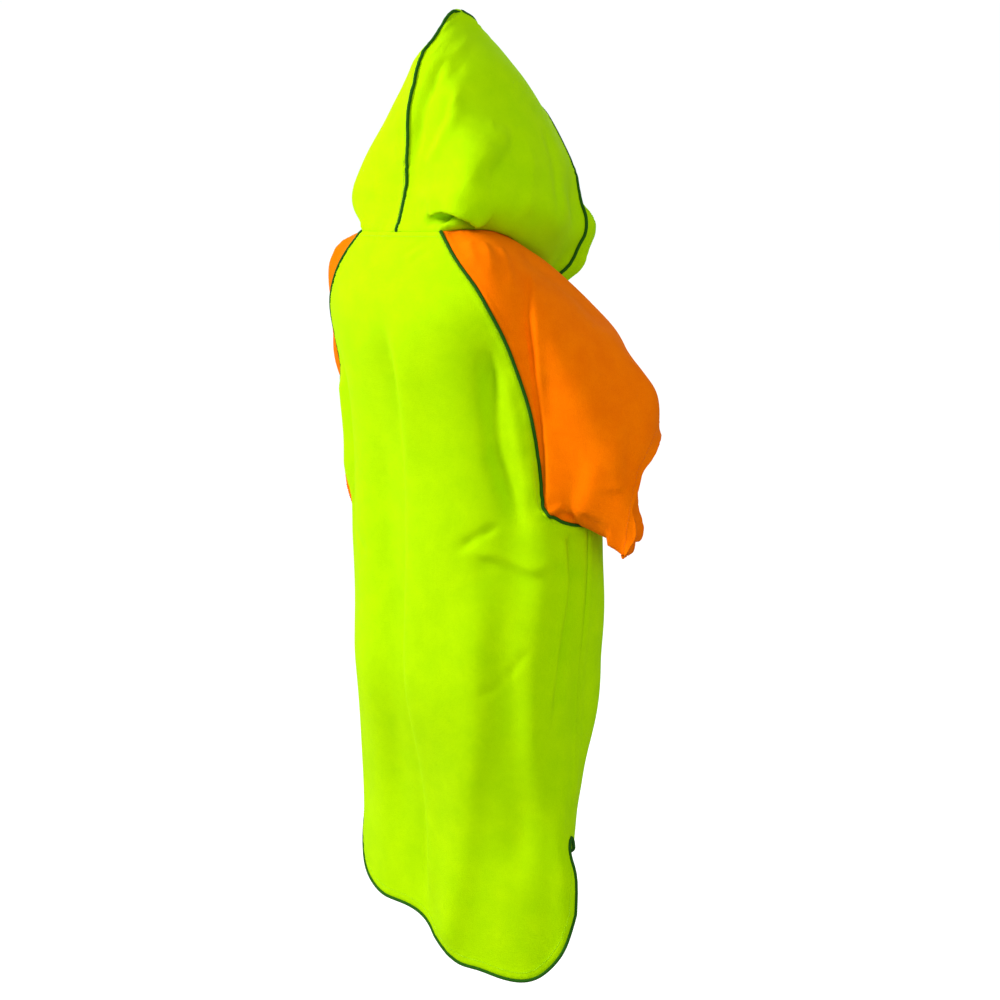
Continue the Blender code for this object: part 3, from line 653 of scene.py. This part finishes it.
def creaseMoves(crease, order, surface, points, normals):
    line = smoothLine(np.array(crease["through"]) / 1000, hang["step"])
    found = [surface.find_nearest(Vector(p)) for p in line]
    line = np.array([tuple(f[0]) for f in found])
    out = np.array([tuple(f[1]) for f in found])
    ahead = np.gradient(line, axis=0)
    ahead /= np.linalg.norm(ahead, axis=1)[:, None]
    widths = np.array(crease["width"]) / 1000
    reach = widths.max() * hang["reach"]
    near = np.where(((points > line.min(0) - reach) & (points < line.max(0) + reach)).all(1))[0]
    closest = np.empty(len(near), int)
    for start in range(0, len(near), hang["batch"]):
        batch = slice(start, start + hang["batch"])
        apart = points[near[batch]][:, None] - line[None]
        closest[batch] = (apart ** 2).sum(2).argmin(1)
    offset = points[near] - line[closest]
    along = (offset * ahead[closest]).sum(1)
    offset -= along[:, None] * ahead[closest]
    aside = (offset * np.cross(ahead[closest], out[closest])).sum(1)
    above = (offset * out[closest]).sum(1)
    share = closest / (len(line) - 1)
    width = np.where(aside > 0, widths[0], widths[1])
    shape = np.exp(-(aside / width) ** 2)
    if crease["edge"]:
        shape = -np.tanh(aside / (crease["edge"] / 1000)) * shape
    shape *= fade(share, *crease["ends"])
    turns = hang["swayTurns"] * share + hang["swayShift"] * order
    shape *= 1 + hang["sway"] * np.sin(math.tau * turns)
    shape *= np.exp(-(np.maximum(0, np.abs(along) - hang["step"]) / widths.min()) ** 2)
    facing = (normals[near] * out[closest]).sum(1)
    shape *= (facing > 0) & (np.abs(above) < hang["depthReach"])
    moves = np.zeros_like(points)
    moves[near] = normals[near] * (shape * crease["depth"] / 1000)[:, None]
    moves[near] += np.array(crease["push"]) / 1000 * shape[:, None]
    return moves


def pullMoves(pull, points):
    line = smoothLine(np.array(pull["through"]) / 1000, hang["step"])
    tree = treeOf(line)
    width = pull["width"] / 1000
    reach = hang["pullReach"] * width
    low, high = line.min(0) - reach, line.max(0) + reach
    near = np.where(((points > low) & (points < high)).all(1))[0]
    found = [tree.find(points[i])[1:] for i in near]
    share = np.array([f[0] for f in found]) / (len(line) - 1)
    away = np.array([f[1] for f in found])
    strength = np.exp(-(away / width) ** 2) * fade(share, *pull["ends"])
    moves = np.zeros_like(points)
    moves[near] = strength[:, None] * np.array(pull["move"]) / 1000
    return moves


def edgeLines(mesh, wanted):
    points = pointsOf(mesh)
    return [evenly(points[chain], hang["edgeStep"]) for chain in lines(mesh, wanted)]


def awayFrom(points, edges):
    # how far each point is from the nearest of some lines, and how far along that line
    tree = treeOf(np.concatenate(edges))
    places = [order * hang["edgeStep"] for edge in edges for order in range(len(edge))]
    found = [tree.find(point)[1:] for point in points]
    return np.array([f[1] for f in found]), np.array([places[f[0]] for f in found])


def between(first, second):
    return lambda sides, low: sides == (first, second)


def openEdge(pieces, bottom, top):
    # the open edges of some pieces between two heights
    return lambda sides, low: len(sides) == 1 and sides[0] in pieces and bottom < low < top


back, front, sleeveRight, sleeveLeft = range(4)
hoodRight, hoodLeft, hoodBand = range(3)
allBody = (back, front, sleeveRight, sleeveLeft)
lowest, cuffLow, hemTop, neckLow, highest = -2, -0.6, -0.5, -0.13, 1

# The seams and open edges: the form they are on and the rule that picks them out. A cord lies in
# those that have a piping node. Their lines are taken here, before the cloth is creased, so the
# sewing follows the cut of the pieces.
edgeRules = {
    "raglan_back_right": (bodyMesh, between(back, sleeveRight)),
    "raglan_back_left": (bodyMesh, between(back, sleeveLeft)),
    "raglan_front_right": (bodyMesh, between(front, sleeveRight)),
    "raglan_front_left": (bodyMesh, between(front, sleeveLeft)),
    "sides": (bodyMesh, between(back, front)),
    "hem_back": (bodyMesh, openEdge((back,), lowest, hemTop)),
    "hem_front": (bodyMesh, openEdge((front,), lowest, hemTop)),
    "cuffs": (bodyMesh, openEdge((sleeveRight, sleeveLeft), cuffLow, neckLow)),
    "neck": (bodyMesh, openEdge(allBody, neckLow, highest)),
    "hood_seam": (hoodMesh, between(hoodRight, hoodLeft)),
    "brim_right": (hoodMesh, between(hoodRight, hoodBand)),
    "brim_left": (hoodMesh, between(hoodLeft, hoodBand)),
    "hood_brim": (hoodMesh, lambda sides, low: len(sides) == 2 and hoodBand in sides),
    "foot": (hoodMesh, openEdge((hoodRight, hoodLeft), lowest, highest)),
    "opening": (hoodMesh, openEdge((hoodBand,), lowest, highest)),
}
edgesAt = {name: edgeLines(*rule) for name, rule in edgeRules.items()}
print("edges found:", len(edgesAt))


def gathered(*names):
    return [edge for name in names for edge in edgesAt[name]]


def hangCreases(mesh, creases, pulls, neckEdges):
    points, normals, surface = pointsOf(mesh), normalsOf(mesh), surfaceOf(mesh)
    moves = np.zeros_like(points)
    for pull in pulls.values():
        moves += pullMoves(pull, points)
    for order, crease in enumerate(creases.values()):
        moves += creaseMoves(crease, order, surface, points, normals)
    away = awayFrom(points, neckEdges)[0]
    moves *= np.clip(away / hang["neckHold"], 0, 1)[:, None]
    setPoints(mesh, points + moves)
    print("  creases:", len(creases))


hangCreases(bodyMesh, bodyCreases, bodyPulls, edgesAt["neck"])
hangCreases(hoodMesh, hoodCreases, hoodPulls, edgesAt["foot"])
print("creases laid")


sewing = {
    "pinch": 0.0014,          # m that a seam lies in
    "pinchWidth": 0.0022,
    "shoulder": 0.0011,       # m that the cloth stands up beside a seam, over its turned edges
    "shoulderPlace": 0.0060,
    "shoulderWidth": 0.0040,
    "pucker": 0.0006,         # m of the small waves along a line of stitches
    "puckerLength": 0.019,
    "puckerWidth": 0.013,
    "wander": 0.31,           # how unevenly the waves follow each other
    "puckerFree": 0.004,      # m from the edge where they reach their full height
    # how far each line of stitches is from its edge (m)
    "seamStitch": 0.0042,
    "neckStitch": 0.0070,
    "hemStitch": 0.0110,
    "cuffStitch": 0.0200,
    "bandStitch": 0.0040,
    "pitch": 0.0040,          # from one stitch to the next
    "stitch": 0.0030,         # length of one
    "thread": 0.00038,        # radius
    "sunk": 0.35,             # share of the thread that lies in the nap
    "around": 6,              # faces round a stitch and along it
    "rings": 4,
    "batch": 20,              # stitches made at a time
}


def waves(along, order):
    # rates that share no common length, so that no two stretches of a seam look alike
    turns = along / sewing["puckerLength"]
    drift = sewing["wander"] * np.sin(turns * 1.7 + order) + 0.2 * np.sin(turns * 4.1 + 2 * order)
    return np.sin(math.tau * (turns + drift)) * (0.65 + 0.35 * np.sin(turns * 0.9 + 3 * order))


def sewn(mesh, seams, hems, neck):
    # seams pinch the cloth in, their turned edges lift it beside them, and the stitches pucker it
    points, normals = pointsOf(mesh), normalsOf(mesh)
    rise = np.zeros(len(points))
    for order, (edges, pinch) in enumerate(((seams, 1), (hems, 0), (neck, 0))):
        away, along = awayFrom(points, edges)
        rise -= pinch * sewing["pinch"] * np.exp(-(away / sewing["pinchWidth"]) ** 2)
        rise += sewing["shoulder"] * np.exp(-((away - sewing["shoulderPlace"])
                                              / sewing["shoulderWidth"]) ** 2)
        rise += (sewing["pucker"] * waves(along, order) * np.clip(away / sewing["puckerFree"], 0, 1)
                 * np.exp(-(away / sewing["puckerWidth"]) ** 2))
        name = ("seamAway", "hemAway", "neckAway")[order]
        stored = mesh.attributes.new(name, "FLOAT", "POINT")
        stored.data.foreach_set("value", away.astype(np.float32))
    setPoints(mesh, points + normals * rise[:, None])


sewn(bodyMesh,
     gathered("raglan_back_right", "raglan_back_left", "raglan_front_right", "raglan_front_left",
              "sides"),
     gathered("hem_back", "hem_front", "cuffs"), edgesAt["neck"])
sewn(hoodMesh, gathered("hood_seam", "brim_right", "brim_left"), edgesAt["opening"], edgesAt["foot"])
print("seams drawn in")


# finishes

finishes = {
    # each shade is the dark end of a colour ramp: on the towelling random patches and painted shade
    # between the loops, on the cotton painted shade in the grooves of the weave
    "lime": {"colour": (0.43, 0.72, 0.0), "shade": (0.34, 0.64, 0.0), "sheen": (0.6, 1.0, 0.0)},
    "orange": {"colour": (0.90, 0.185, 0.0), "shade": (0.80, 0.14, 0.0), "sheen": (1.0, 0.35, 0.0)},
    "greenCotton": {"colour": (0.018, 0.12, 0.002), "shade": (0.008, 0.055, 0.001)},
    "limeThread": (0.46, 0.84, 0.0),
    "orangeThread": (0.86, 0.19, 0.0),
    # roughness and specular level of each
    "towelling": (0.92, 0.12),
    "cotton": (0.8, 0.12),
    "thread": (0.55, 0.35),
    "sheen": (0.15, 0.6),     # weight and roughness of the nap's sheen
    "loop": 0.0013,           # m across one loop of the nap
    "loopHeight": 0.0005,
    "loopScatter": 0.8,       # randomness of their places
    "fuzz": 2.5,              # hairs across one loop
    "napStrength": 0.6,
    "mottle": 0.035,          # m across the soft patches where the nap lies another way
    "mottleEdge": 0.62,       # roughness of their outlines
    "loopShade": 0.5,          # painted shade: share of the loops in the colour, darker between them, beside the patches
    "tint": (0.35, 0.95),     # where the colour starts to turn to the shade, and where it is
    "channel": 0.0009,        # half the width of the pressed line under the stitches
    "channelStrength": 0.5,
    "weave": 420,             # wave scale, for ribs about 0.9 mm apart
    "weaveWarp": 1.5,         # how unevenly the threads lie
    "weaveHeight": 0.0003,
    "weaveStrength": 0.5,
    "twist": 900,             # wave scale, for turns about 0.4 mm apart
    "twistShade": 0.7,        # painted shade: the thread's colour darkened to this share in the grooves between two turns of its ply
    "twistStrength": 0.4,
}


def fill(tree, item, inputs):
    # each input takes another node's output, or a constant
    for key, value in inputs.items():
        if isinstance(value, bpy.types.NodeSocket):
            tree.links.new(value, item.inputs[key])
        else:
            item.inputs[key].default_value = value


def addNode(tree, kind, inputs):
    item = tree.nodes.new("ShaderNode" + kind)
    fill(tree, item, inputs)
    return item


def maths(tree, operation, *values):
    item = tree.nodes.new("ShaderNodeMath")
    item.operation = operation
    fill(tree, item, dict(enumerate(values)))
    return item.outputs[0]


def ramp(tree, factor, colours, places=(0, 1)):
    item = addNode(tree, "ValToRGB", {"Fac": factor})
    for stop, place, colour in zip(item.color_ramp.elements, places, colours):
        stop.position = place
        stop.color = (*colour, 1)
    return item.outputs["Color"]


def startMaterial(name, roughness, specular):
    material = bpy.data.materials.new(name)
    material.use_nodes = True
    tree = material.node_tree
    shader = tree.nodes["Principled BSDF"]
    fill(tree, shader, {"Roughness": roughness, "Specular IOR Level": specular})
    return material, tree, shader


def towelling(name, tones, hemLine):
    # short looped pile: small rounded loops, a fuzz on them, and patches where the nap is brushed; the
    # colour is darker in some patches, and darker between the loops as painted shade
    material, tree, shader = startMaterial(name, *finishes["towelling"])
    place = addNode(tree, "TexCoord", {}).outputs["Object"]
    loops = addNode(tree, "TexVoronoi", {"Vector": place, "Scale": 1 / finishes["loop"],
                                         "Randomness": finishes["loopScatter"]}).outputs["Distance"]
    fuzz = addNode(tree, "TexNoise", {"Vector": place, "Detail": 3,
                                      "Scale": finishes["fuzz"] / finishes["loop"]}).outputs["Fac"]
    patches = addNode(tree, "TexNoise", {"Vector": place, "Scale": 1 / finishes["mottle"], "Detail": 5,
                                         "Roughness": finishes["mottleEdge"]}).outputs["Fac"]
    # the nap is pressed flat along each line of stitches
    pressed = None
    for attribute, distance in (("seamAway", "seamStitch"), ("neckAway", "neckStitch"),
                                ("hemAway", hemLine)):
        edge = tree.nodes.new("ShaderNodeAttribute")
        edge.attribute_name = attribute
        line = maths(tree, "COMPARE", edge.outputs["Fac"], sewing[distance], finishes["channel"])
        pressed = line if pressed is None else maths(tree, "MAXIMUM", pressed, line)
    channel = addNode(tree, "Bump", {"Height": pressed, "Strength": finishes["channelStrength"],
                                     "Distance": finishes["loopHeight"]})
    channel.invert = True
    bump = addNode(tree, "Bump", {"Height": maths(tree, "SUBTRACT", fuzz, loops),
                                  "Strength": finishes["napStrength"],
                                  "Distance": finishes["loopHeight"],
                                  "Normal": channel.outputs["Normal"]})
    # the colour turns to the shade tone in random patches, and where the pile lies low between the
    # loops: painted shade there
    mottleAndLoopShade = maths(tree, "MULTIPLY_ADD", loops, finishes["loopShade"], patches)
    sheen = (*tones["sheen"], 1)
    fill(tree, shader, {
        "Base Color": ramp(tree, mottleAndLoopShade, (tones["colour"], tones["shade"]), finishes["tint"]),
        "Normal": bump.outputs["Normal"], "Specular Tint": sheen, "Sheen Tint": sheen,
        "Sheen Weight": finishes["sheen"][0], "Sheen Roughness": finishes["sheen"][1]})
    return material


def twilled(name, finish, wave, colours, strength, height):
    # fine slanting ridges, as a weave or a twisted thread shows; the colour darkens in the grooves
    # between them, painted shade
    material, tree, shader = startMaterial(name, *finish)
    place = addNode(tree, "TexCoord", {}).outputs["Object"]
    ridges = addNode(tree, "TexWave", {"Vector": place, **wave})
    ridges.bands_direction = "DIAGONAL"
    lift = ridges.outputs["Fac"]
    bump = addNode(tree, "Bump", {"Height": lift, "Strength": strength, "Distance": height})
    # painted shade: the lower the ridge, the nearer the colour is to the first, darker one
    fill(tree, shader, {"Base Color": ramp(tree, lift, colours), "Normal": bump.outputs["Normal"]})
    return material


def cotton(name, tones):
    # tightly woven bias strip over the piping cord, its shade tone painted shade in the grooves of the
    # weave
    wave = {"Scale": finishes["weave"], "Distortion": finishes["weaveWarp"], "Detail": 2}
    return twilled(name, finishes["cotton"], wave, (tones["shade"], tones["colour"]),
                   finishes["weaveStrength"], finishes["weaveHeight"])


def thread(name, colour):
    # two-ply polyester sewing thread, with painted shade between the turns of its ply
    # painted shade for the grooves of the twist
    shade = [finishes["twistShade"] * part for part in colour]
    return twilled(name, finishes["thread"], {"Scale": finishes["twist"]}, (shade, colour),
                   finishes["twistStrength"], sewing["thread"])


limeTowelling = towelling("lime_towelling", finishes["lime"], "hemStitch")
orangeTowelling = towelling("orange_towelling", finishes["orange"], "cuffStitch")
greenCotton = cotton("green_cotton", finishes["greenCotton"])
limeThread = thread("lime_thread", finishes["limeThread"])
orangeThread = thread("orange_thread", finishes["orangeThread"])


# pieces cut from the two forms

# name: node, flat size of the piece (m), share of that rectangle that it fills
cut = {
    "back_cloth": ("back_panel", (0.52, 1.06), 0.85),
    "front_cloth": ("front_panel", (0.52, 0.92), 0.80),
    "sleeve_cloth_right": ("sleeve_right", (0.46, 0.46), 0.65),
    "sleeve_cloth_left": ("sleeve_left", (0.46, 0.46), 0.65),
    "hood_cloth_right": ("hood_right", (0.31, 0.42), 0.85),
    "hood_cloth_left": ("hood_left", (0.31, 0.42), 0.85),
    "hood_band_cloth": ("hood_band", (0.65, 0.02), 1.0),
}


def pieceOf(node, name):
    mesh, pieces = bodyMesh, cloth["bodyPieces"]
    if node in cloth["hoodPieces"]:
        mesh, pieces = hoodMesh, cloth["hoodPieces"]
    bm = bmesh.new()
    bm.from_mesh(mesh)
    others = [f for f in bm.faces if f.material_index != pieces.index(node)]
    bmesh.ops.delete(bm, geom=others, context="FACES")
    for face in bm.faces:
        face.material_index = 0
        face.smooth = True
    return made(name, bm)


def addWall(piece, turned):
    # one thickness of cloth, and two where the hem is turned up
    mesh = piece.data
    away = valuesOf(mesh.attributes["hemAway"].data, "value")
    hem = piece.vertex_groups.new(name="wall")
    deep = [i for i, distance in enumerate(away) if distance < turned]
    hem.add(range(len(mesh.vertices)), 0.5, "REPLACE")
    hem.add(deep, 1.0, "REPLACE")
    wall = piece.modifiers.new("wall", "SOLIDIFY")
    wall.thickness = 2 * cloth["thickness"]
    wall.vertex_group = "wall"
    wall.offset = -1
    wall.use_rim = True


def dress(item, material):
    # every piece has one material, one slot and the same body
    item.data.materials.clear()
    item.data.materials.append(material)
    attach(item, "root")


for name, (node, flat, share) in cut.items():
    piece = pieceOf(node, name)
    if "sleeve" in node:
        dress(piece, orangeTowelling)
        addWall(piece, sewing["cuffStitch"])
    else:
        dress(piece, limeTowelling)
        addWall(piece, 0 if node == "hood_band" else sewing["hemStitch"])
    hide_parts(node)
    print("  piece", name, len(piece.data.polygons), "faces")
print("cloth pieces cut")


# piping and stitches

pipe = {
    "radius": 0.0023,
    "proud": 0.0014,          # m from the seam out to the cord's middle
    "hemProud": 0.0004,
    "hemDown": 0.0012,        # m that the hem's cord hangs below the edge
    "step": 0.003,
    "sides": 5,               # bevel resolution
    "underHood": 0.012,       # m of the front cords that the hood covers
}


def seamLine(mesh, wanted):
    # the longest chain of wanted edges, top end first, with the cloth's normals along it
    chain = lines(mesh, wanted)[0]
    points, normals = pointsOf(mesh)[chain], normalsOf(mesh)[chain]
    if points[0][2] < points[-1][2]:
        points, normals = points[::-1], normals[::-1]
    return points, normals


def pipeAlong(name, line):
    curve = bpy.data.curves.new(name, "CURVE")
    curve.dimensions = "3D"
    curve.bevel_depth = pipe["radius"]
    curve.bevel_resolution = pipe["sides"]
    curve.use_fill_caps = True
    spline = curve.splines.new("POLY")
    spline.points.add(len(line) - 1)
    spline.points.foreach_set("co", np.c_[line, np.ones(len(line))].astype(np.float32).ravel())
    rough = placed(name + "_line", curve)
    data = asSeen(rough)
    bpy.data.objects.remove(rough)
    data.name = name
    for polygon in data.polygons:
        polygon.use_smooth = len(polygon.vertices) == 4
    return placed(name, data)


for name, rule in edgeRules.items():
    node = "piping_" + name
    if node not in nodes:
        continue
    points, normals = seamLine(*rule)
    isHem = "hem" in node
    line = points + normals * (pipe["hemProud"] if isHem else pipe["proud"])
    if isHem:
        line[:, 2] -= pipe["hemDown"]
    line = evenly(line, pipe["step"])
    if "front" in node and not isHem:
        line = line[int(pipe["underHood"] / pipe["step"]):]
    cord = pipeAlong(node + "_cord", line)
    dress(cord, greenCotton)
    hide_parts(node)
    print("  piping", cord.name, round(len(line) * pipe["step"], 2), "m")
print("piping laid")

piecesOf = {mesh.name: valuesOf(mesh.polygons, "material_index", np.int32)
            for mesh in (bodyMesh, hoodMesh)}
surfaces = {mesh.name: surfaceOf(mesh) for mesh in (bodyMesh, hoodMesh)}


def stitchPlaces(mesh, edge, offset, piece):
    # stitches at an even pitch, a set way from an edge on one side of it
    places = []
    edge = evenly(edge, sewing["pitch"])
    ahead = np.gradient(edge, axis=0)
    surface, pieces = surfaces[mesh.name], piecesOf[mesh.name]
    for point, way in zip(edge[1:-1], ahead[1:-1]):
        way = Vector(way).normalized()
        _, normal, _, _ = surface.find_nearest(Vector(point))
        side = normal.cross(way)
        for sign in (1, -1):
            place, out, face, _ = surface.find_nearest(Vector(point) + side * offset * sign)
            away = (place - Vector(point)).length
            if pieces[face] != piece or abs(away - offset) > offset / 3:
                continue
            way = (way - out * way.dot(out)).normalized()
            turn = Matrix((way, out.cross(way), out)).transposed().to_4x4()
            lift = out * sewing["thread"] * (1 - sewing["sunk"])
            size = Matrix.Diagonal((sewing["stitch"] / 2, sewing["thread"], sewing["thread"], 1))
            places.append(Matrix.Translation(place + lift) @ turn @ size)
            break
    return places


def sewStitches(name, places):
    # a few at a time, because an operator takes longer the more the mesh holds
    whole = bmesh.new()
    data = bpy.data.meshes.new(name)
    for start in range(0, len(places), sewing["batch"]):
        bm = bmesh.new()
        for place in places[start:start + sewing["batch"]]:
            bmesh.ops.create_uvsphere(bm, u_segments=sewing["around"], v_segments=sewing["rings"],
                                      radius=1, matrix=place)
        bm.to_mesh(data)
        bm.free()
        whole.from_mesh(data)
    for face in whole.faces:
        face.smooth = True
    whole.to_mesh(data)
    whole.free()
    return placed(name, data)


# name: for each line of stitches its edge, how far it is from that, and the piece it holds
stitching = {
    "stitches_back": [
        ("raglan_back_right", "seamStitch", back), ("raglan_back_left", "seamStitch", back),
        ("neck", "neckStitch", back), ("hem_back", "hemStitch", back)],
    "stitches_front": [
        ("raglan_front_right", "seamStitch", front), ("raglan_front_left", "seamStitch", front),
        ("neck", "neckStitch", front), ("hem_front", "hemStitch", front)],
    "stitches_sleeves": [
        ("neck", "neckStitch", sleeveRight), ("neck", "neckStitch", sleeveLeft),
        ("cuffs", "cuffStitch", sleeveRight), ("cuffs", "cuffStitch", sleeveLeft)],
    "stitches_hood": [
        ("hood_seam", "seamStitch", hoodRight), ("hood_seam", "seamStitch", hoodLeft),
        ("brim_right", "seamStitch", hoodRight), ("brim_left", "seamStitch", hoodRight),
        ("brim_right", "seamStitch", hoodLeft), ("brim_left", "seamStitch", hoodLeft),
        ("opening", "bandStitch", hoodBand)],
}

for name, stitchLines in stitching.items():
    places = [place for rule, distance, piece in stitchLines for edge in edgesAt[rule]
              for place in stitchPlaces(edgeRules[rule][0], edge, sewing[distance], piece)]
    item = sewStitches(name, places)
    if "sleeves" in name:
        dress(item, orangeThread)
    else:
        dress(item, limeThread)
    print("  ", name, len(places))
print("stitches sewn")


# floor, light and camera

studio = {
    "floor": -1.42,           # the wearer's soles
    "floorColour": (0.35, 0.35, 0.35),
    "floorFinish": (0.9, 0.5),      # roughness and specular level
    "floorGlow": 0.08,
    "floorShown": 0.76,       # added where the camera sees it, so the far floor is pale too
    "reach": 60.0,            # half the floor's width
    "room": (0.95, 0.98, 1.0),
    "roomStrength": 0.62,
    "backgroundStrength": 0.44,     # added where the camera sees the room itself
    # name: place, colour, power (W), size (m)
    "lights": {
        "key": ((1.7, 2.5, 1.5), (1.0, 0.95, 0.86), 165, 1.1),
        "fill": ((-3.2, 1.6, 0.9), (0.94, 1.0, 0.94), 50, 2.4),
        "front": ((2.4, -2.6, 1.7), (1.0, 1.0, 1.0), 60, 1.6),
    },
    "aim": (0, -0.05, -0.4),  # where the lights point
    "lens": 77.15,            # mm
    "sensor": 36,             # mm
    "azimuth": 225,           # degrees round from the front
    "distance": 3.0,
    "height": 0.03,
    "aside": 0.081,           # m to the camera's right
    "pitch": 7.72,            # degrees down
}


def whereSeen(tree, shown, always):
    # a strength that is higher where the camera looks straight at it
    ray = addNode(tree, "LightPath", {})
    return maths(tree, "MULTIPLY_ADD", ray.outputs["Is Camera Ray"], shown, always)


def buildBackdrop():
    bm = bmesh.new()
    bmesh.ops.create_grid(bm, x_segments=1, y_segments=1, size=studio["reach"])
    bmesh.ops.translate(bm, verts=bm.verts, vec=(0, 0, studio["floor"]))
    floor = made("floor", bm)
    paint, tree, shader = startMaterial("floor_paint", *studio["floorFinish"])
    fill(tree, shader, {
        "Base Color": (*studio["floorColour"], 1), "Emission Color": (1, 1, 1, 1),
        "Emission Strength": whereSeen(tree, studio["floorShown"], studio["floorGlow"])})
    floor.data.materials.append(paint)


def buildLights():
    target = Vector(studio["aim"])
    for name, (place, colour, power, size) in studio["lights"].items():
        light = bpy.data.lights.new(name, "AREA")
        light.shape = "DISK"
        light.size = size
        light.energy = power
        light.color = colour
        lamp = placed(name, light)
        lamp.location = place
        lamp.rotation_euler = (target - Vector(place)).to_track_quat("-Z", "Y").to_euler()
    world = bpy.data.worlds.new("room")
    world.use_nodes = True
    tree = world.node_tree
    fill(tree, tree.nodes["Background"], {
        "Color": (*studio["room"], 1),
        "Strength": whereSeen(tree, studio["backgroundStrength"], studio["roomStrength"])})
    bpy.context.scene.world = world


def buildCamera():
    lens = bpy.data.cameras.new("camera")
    lens.lens = studio["lens"]
    lens.sensor_width = studio["sensor"]
    camera = placed("camera", lens)
    turn = math.radians(studio["azimuth"])
    back = Vector((math.sin(turn), -math.cos(turn), 0))
    right = Vector((math.cos(turn), math.sin(turn), 0))
    camera.location = back * studio["distance"] + right * studio["aside"]
    camera.location.z = studio["height"]
    pitch = math.radians(studio["pitch"])
    ahead = -back * math.cos(pitch) - Vector((0, 0, math.sin(pitch)))
    camera.rotation_euler = ahead.to_track_quat("-Z", "Y").to_euler()
    bpy.context.scene.camera = camera


buildBackdrop()
buildLights()
buildCamera()
bpy.context.scene.view_settings.view_transform = "Standard"
print("studio ready")
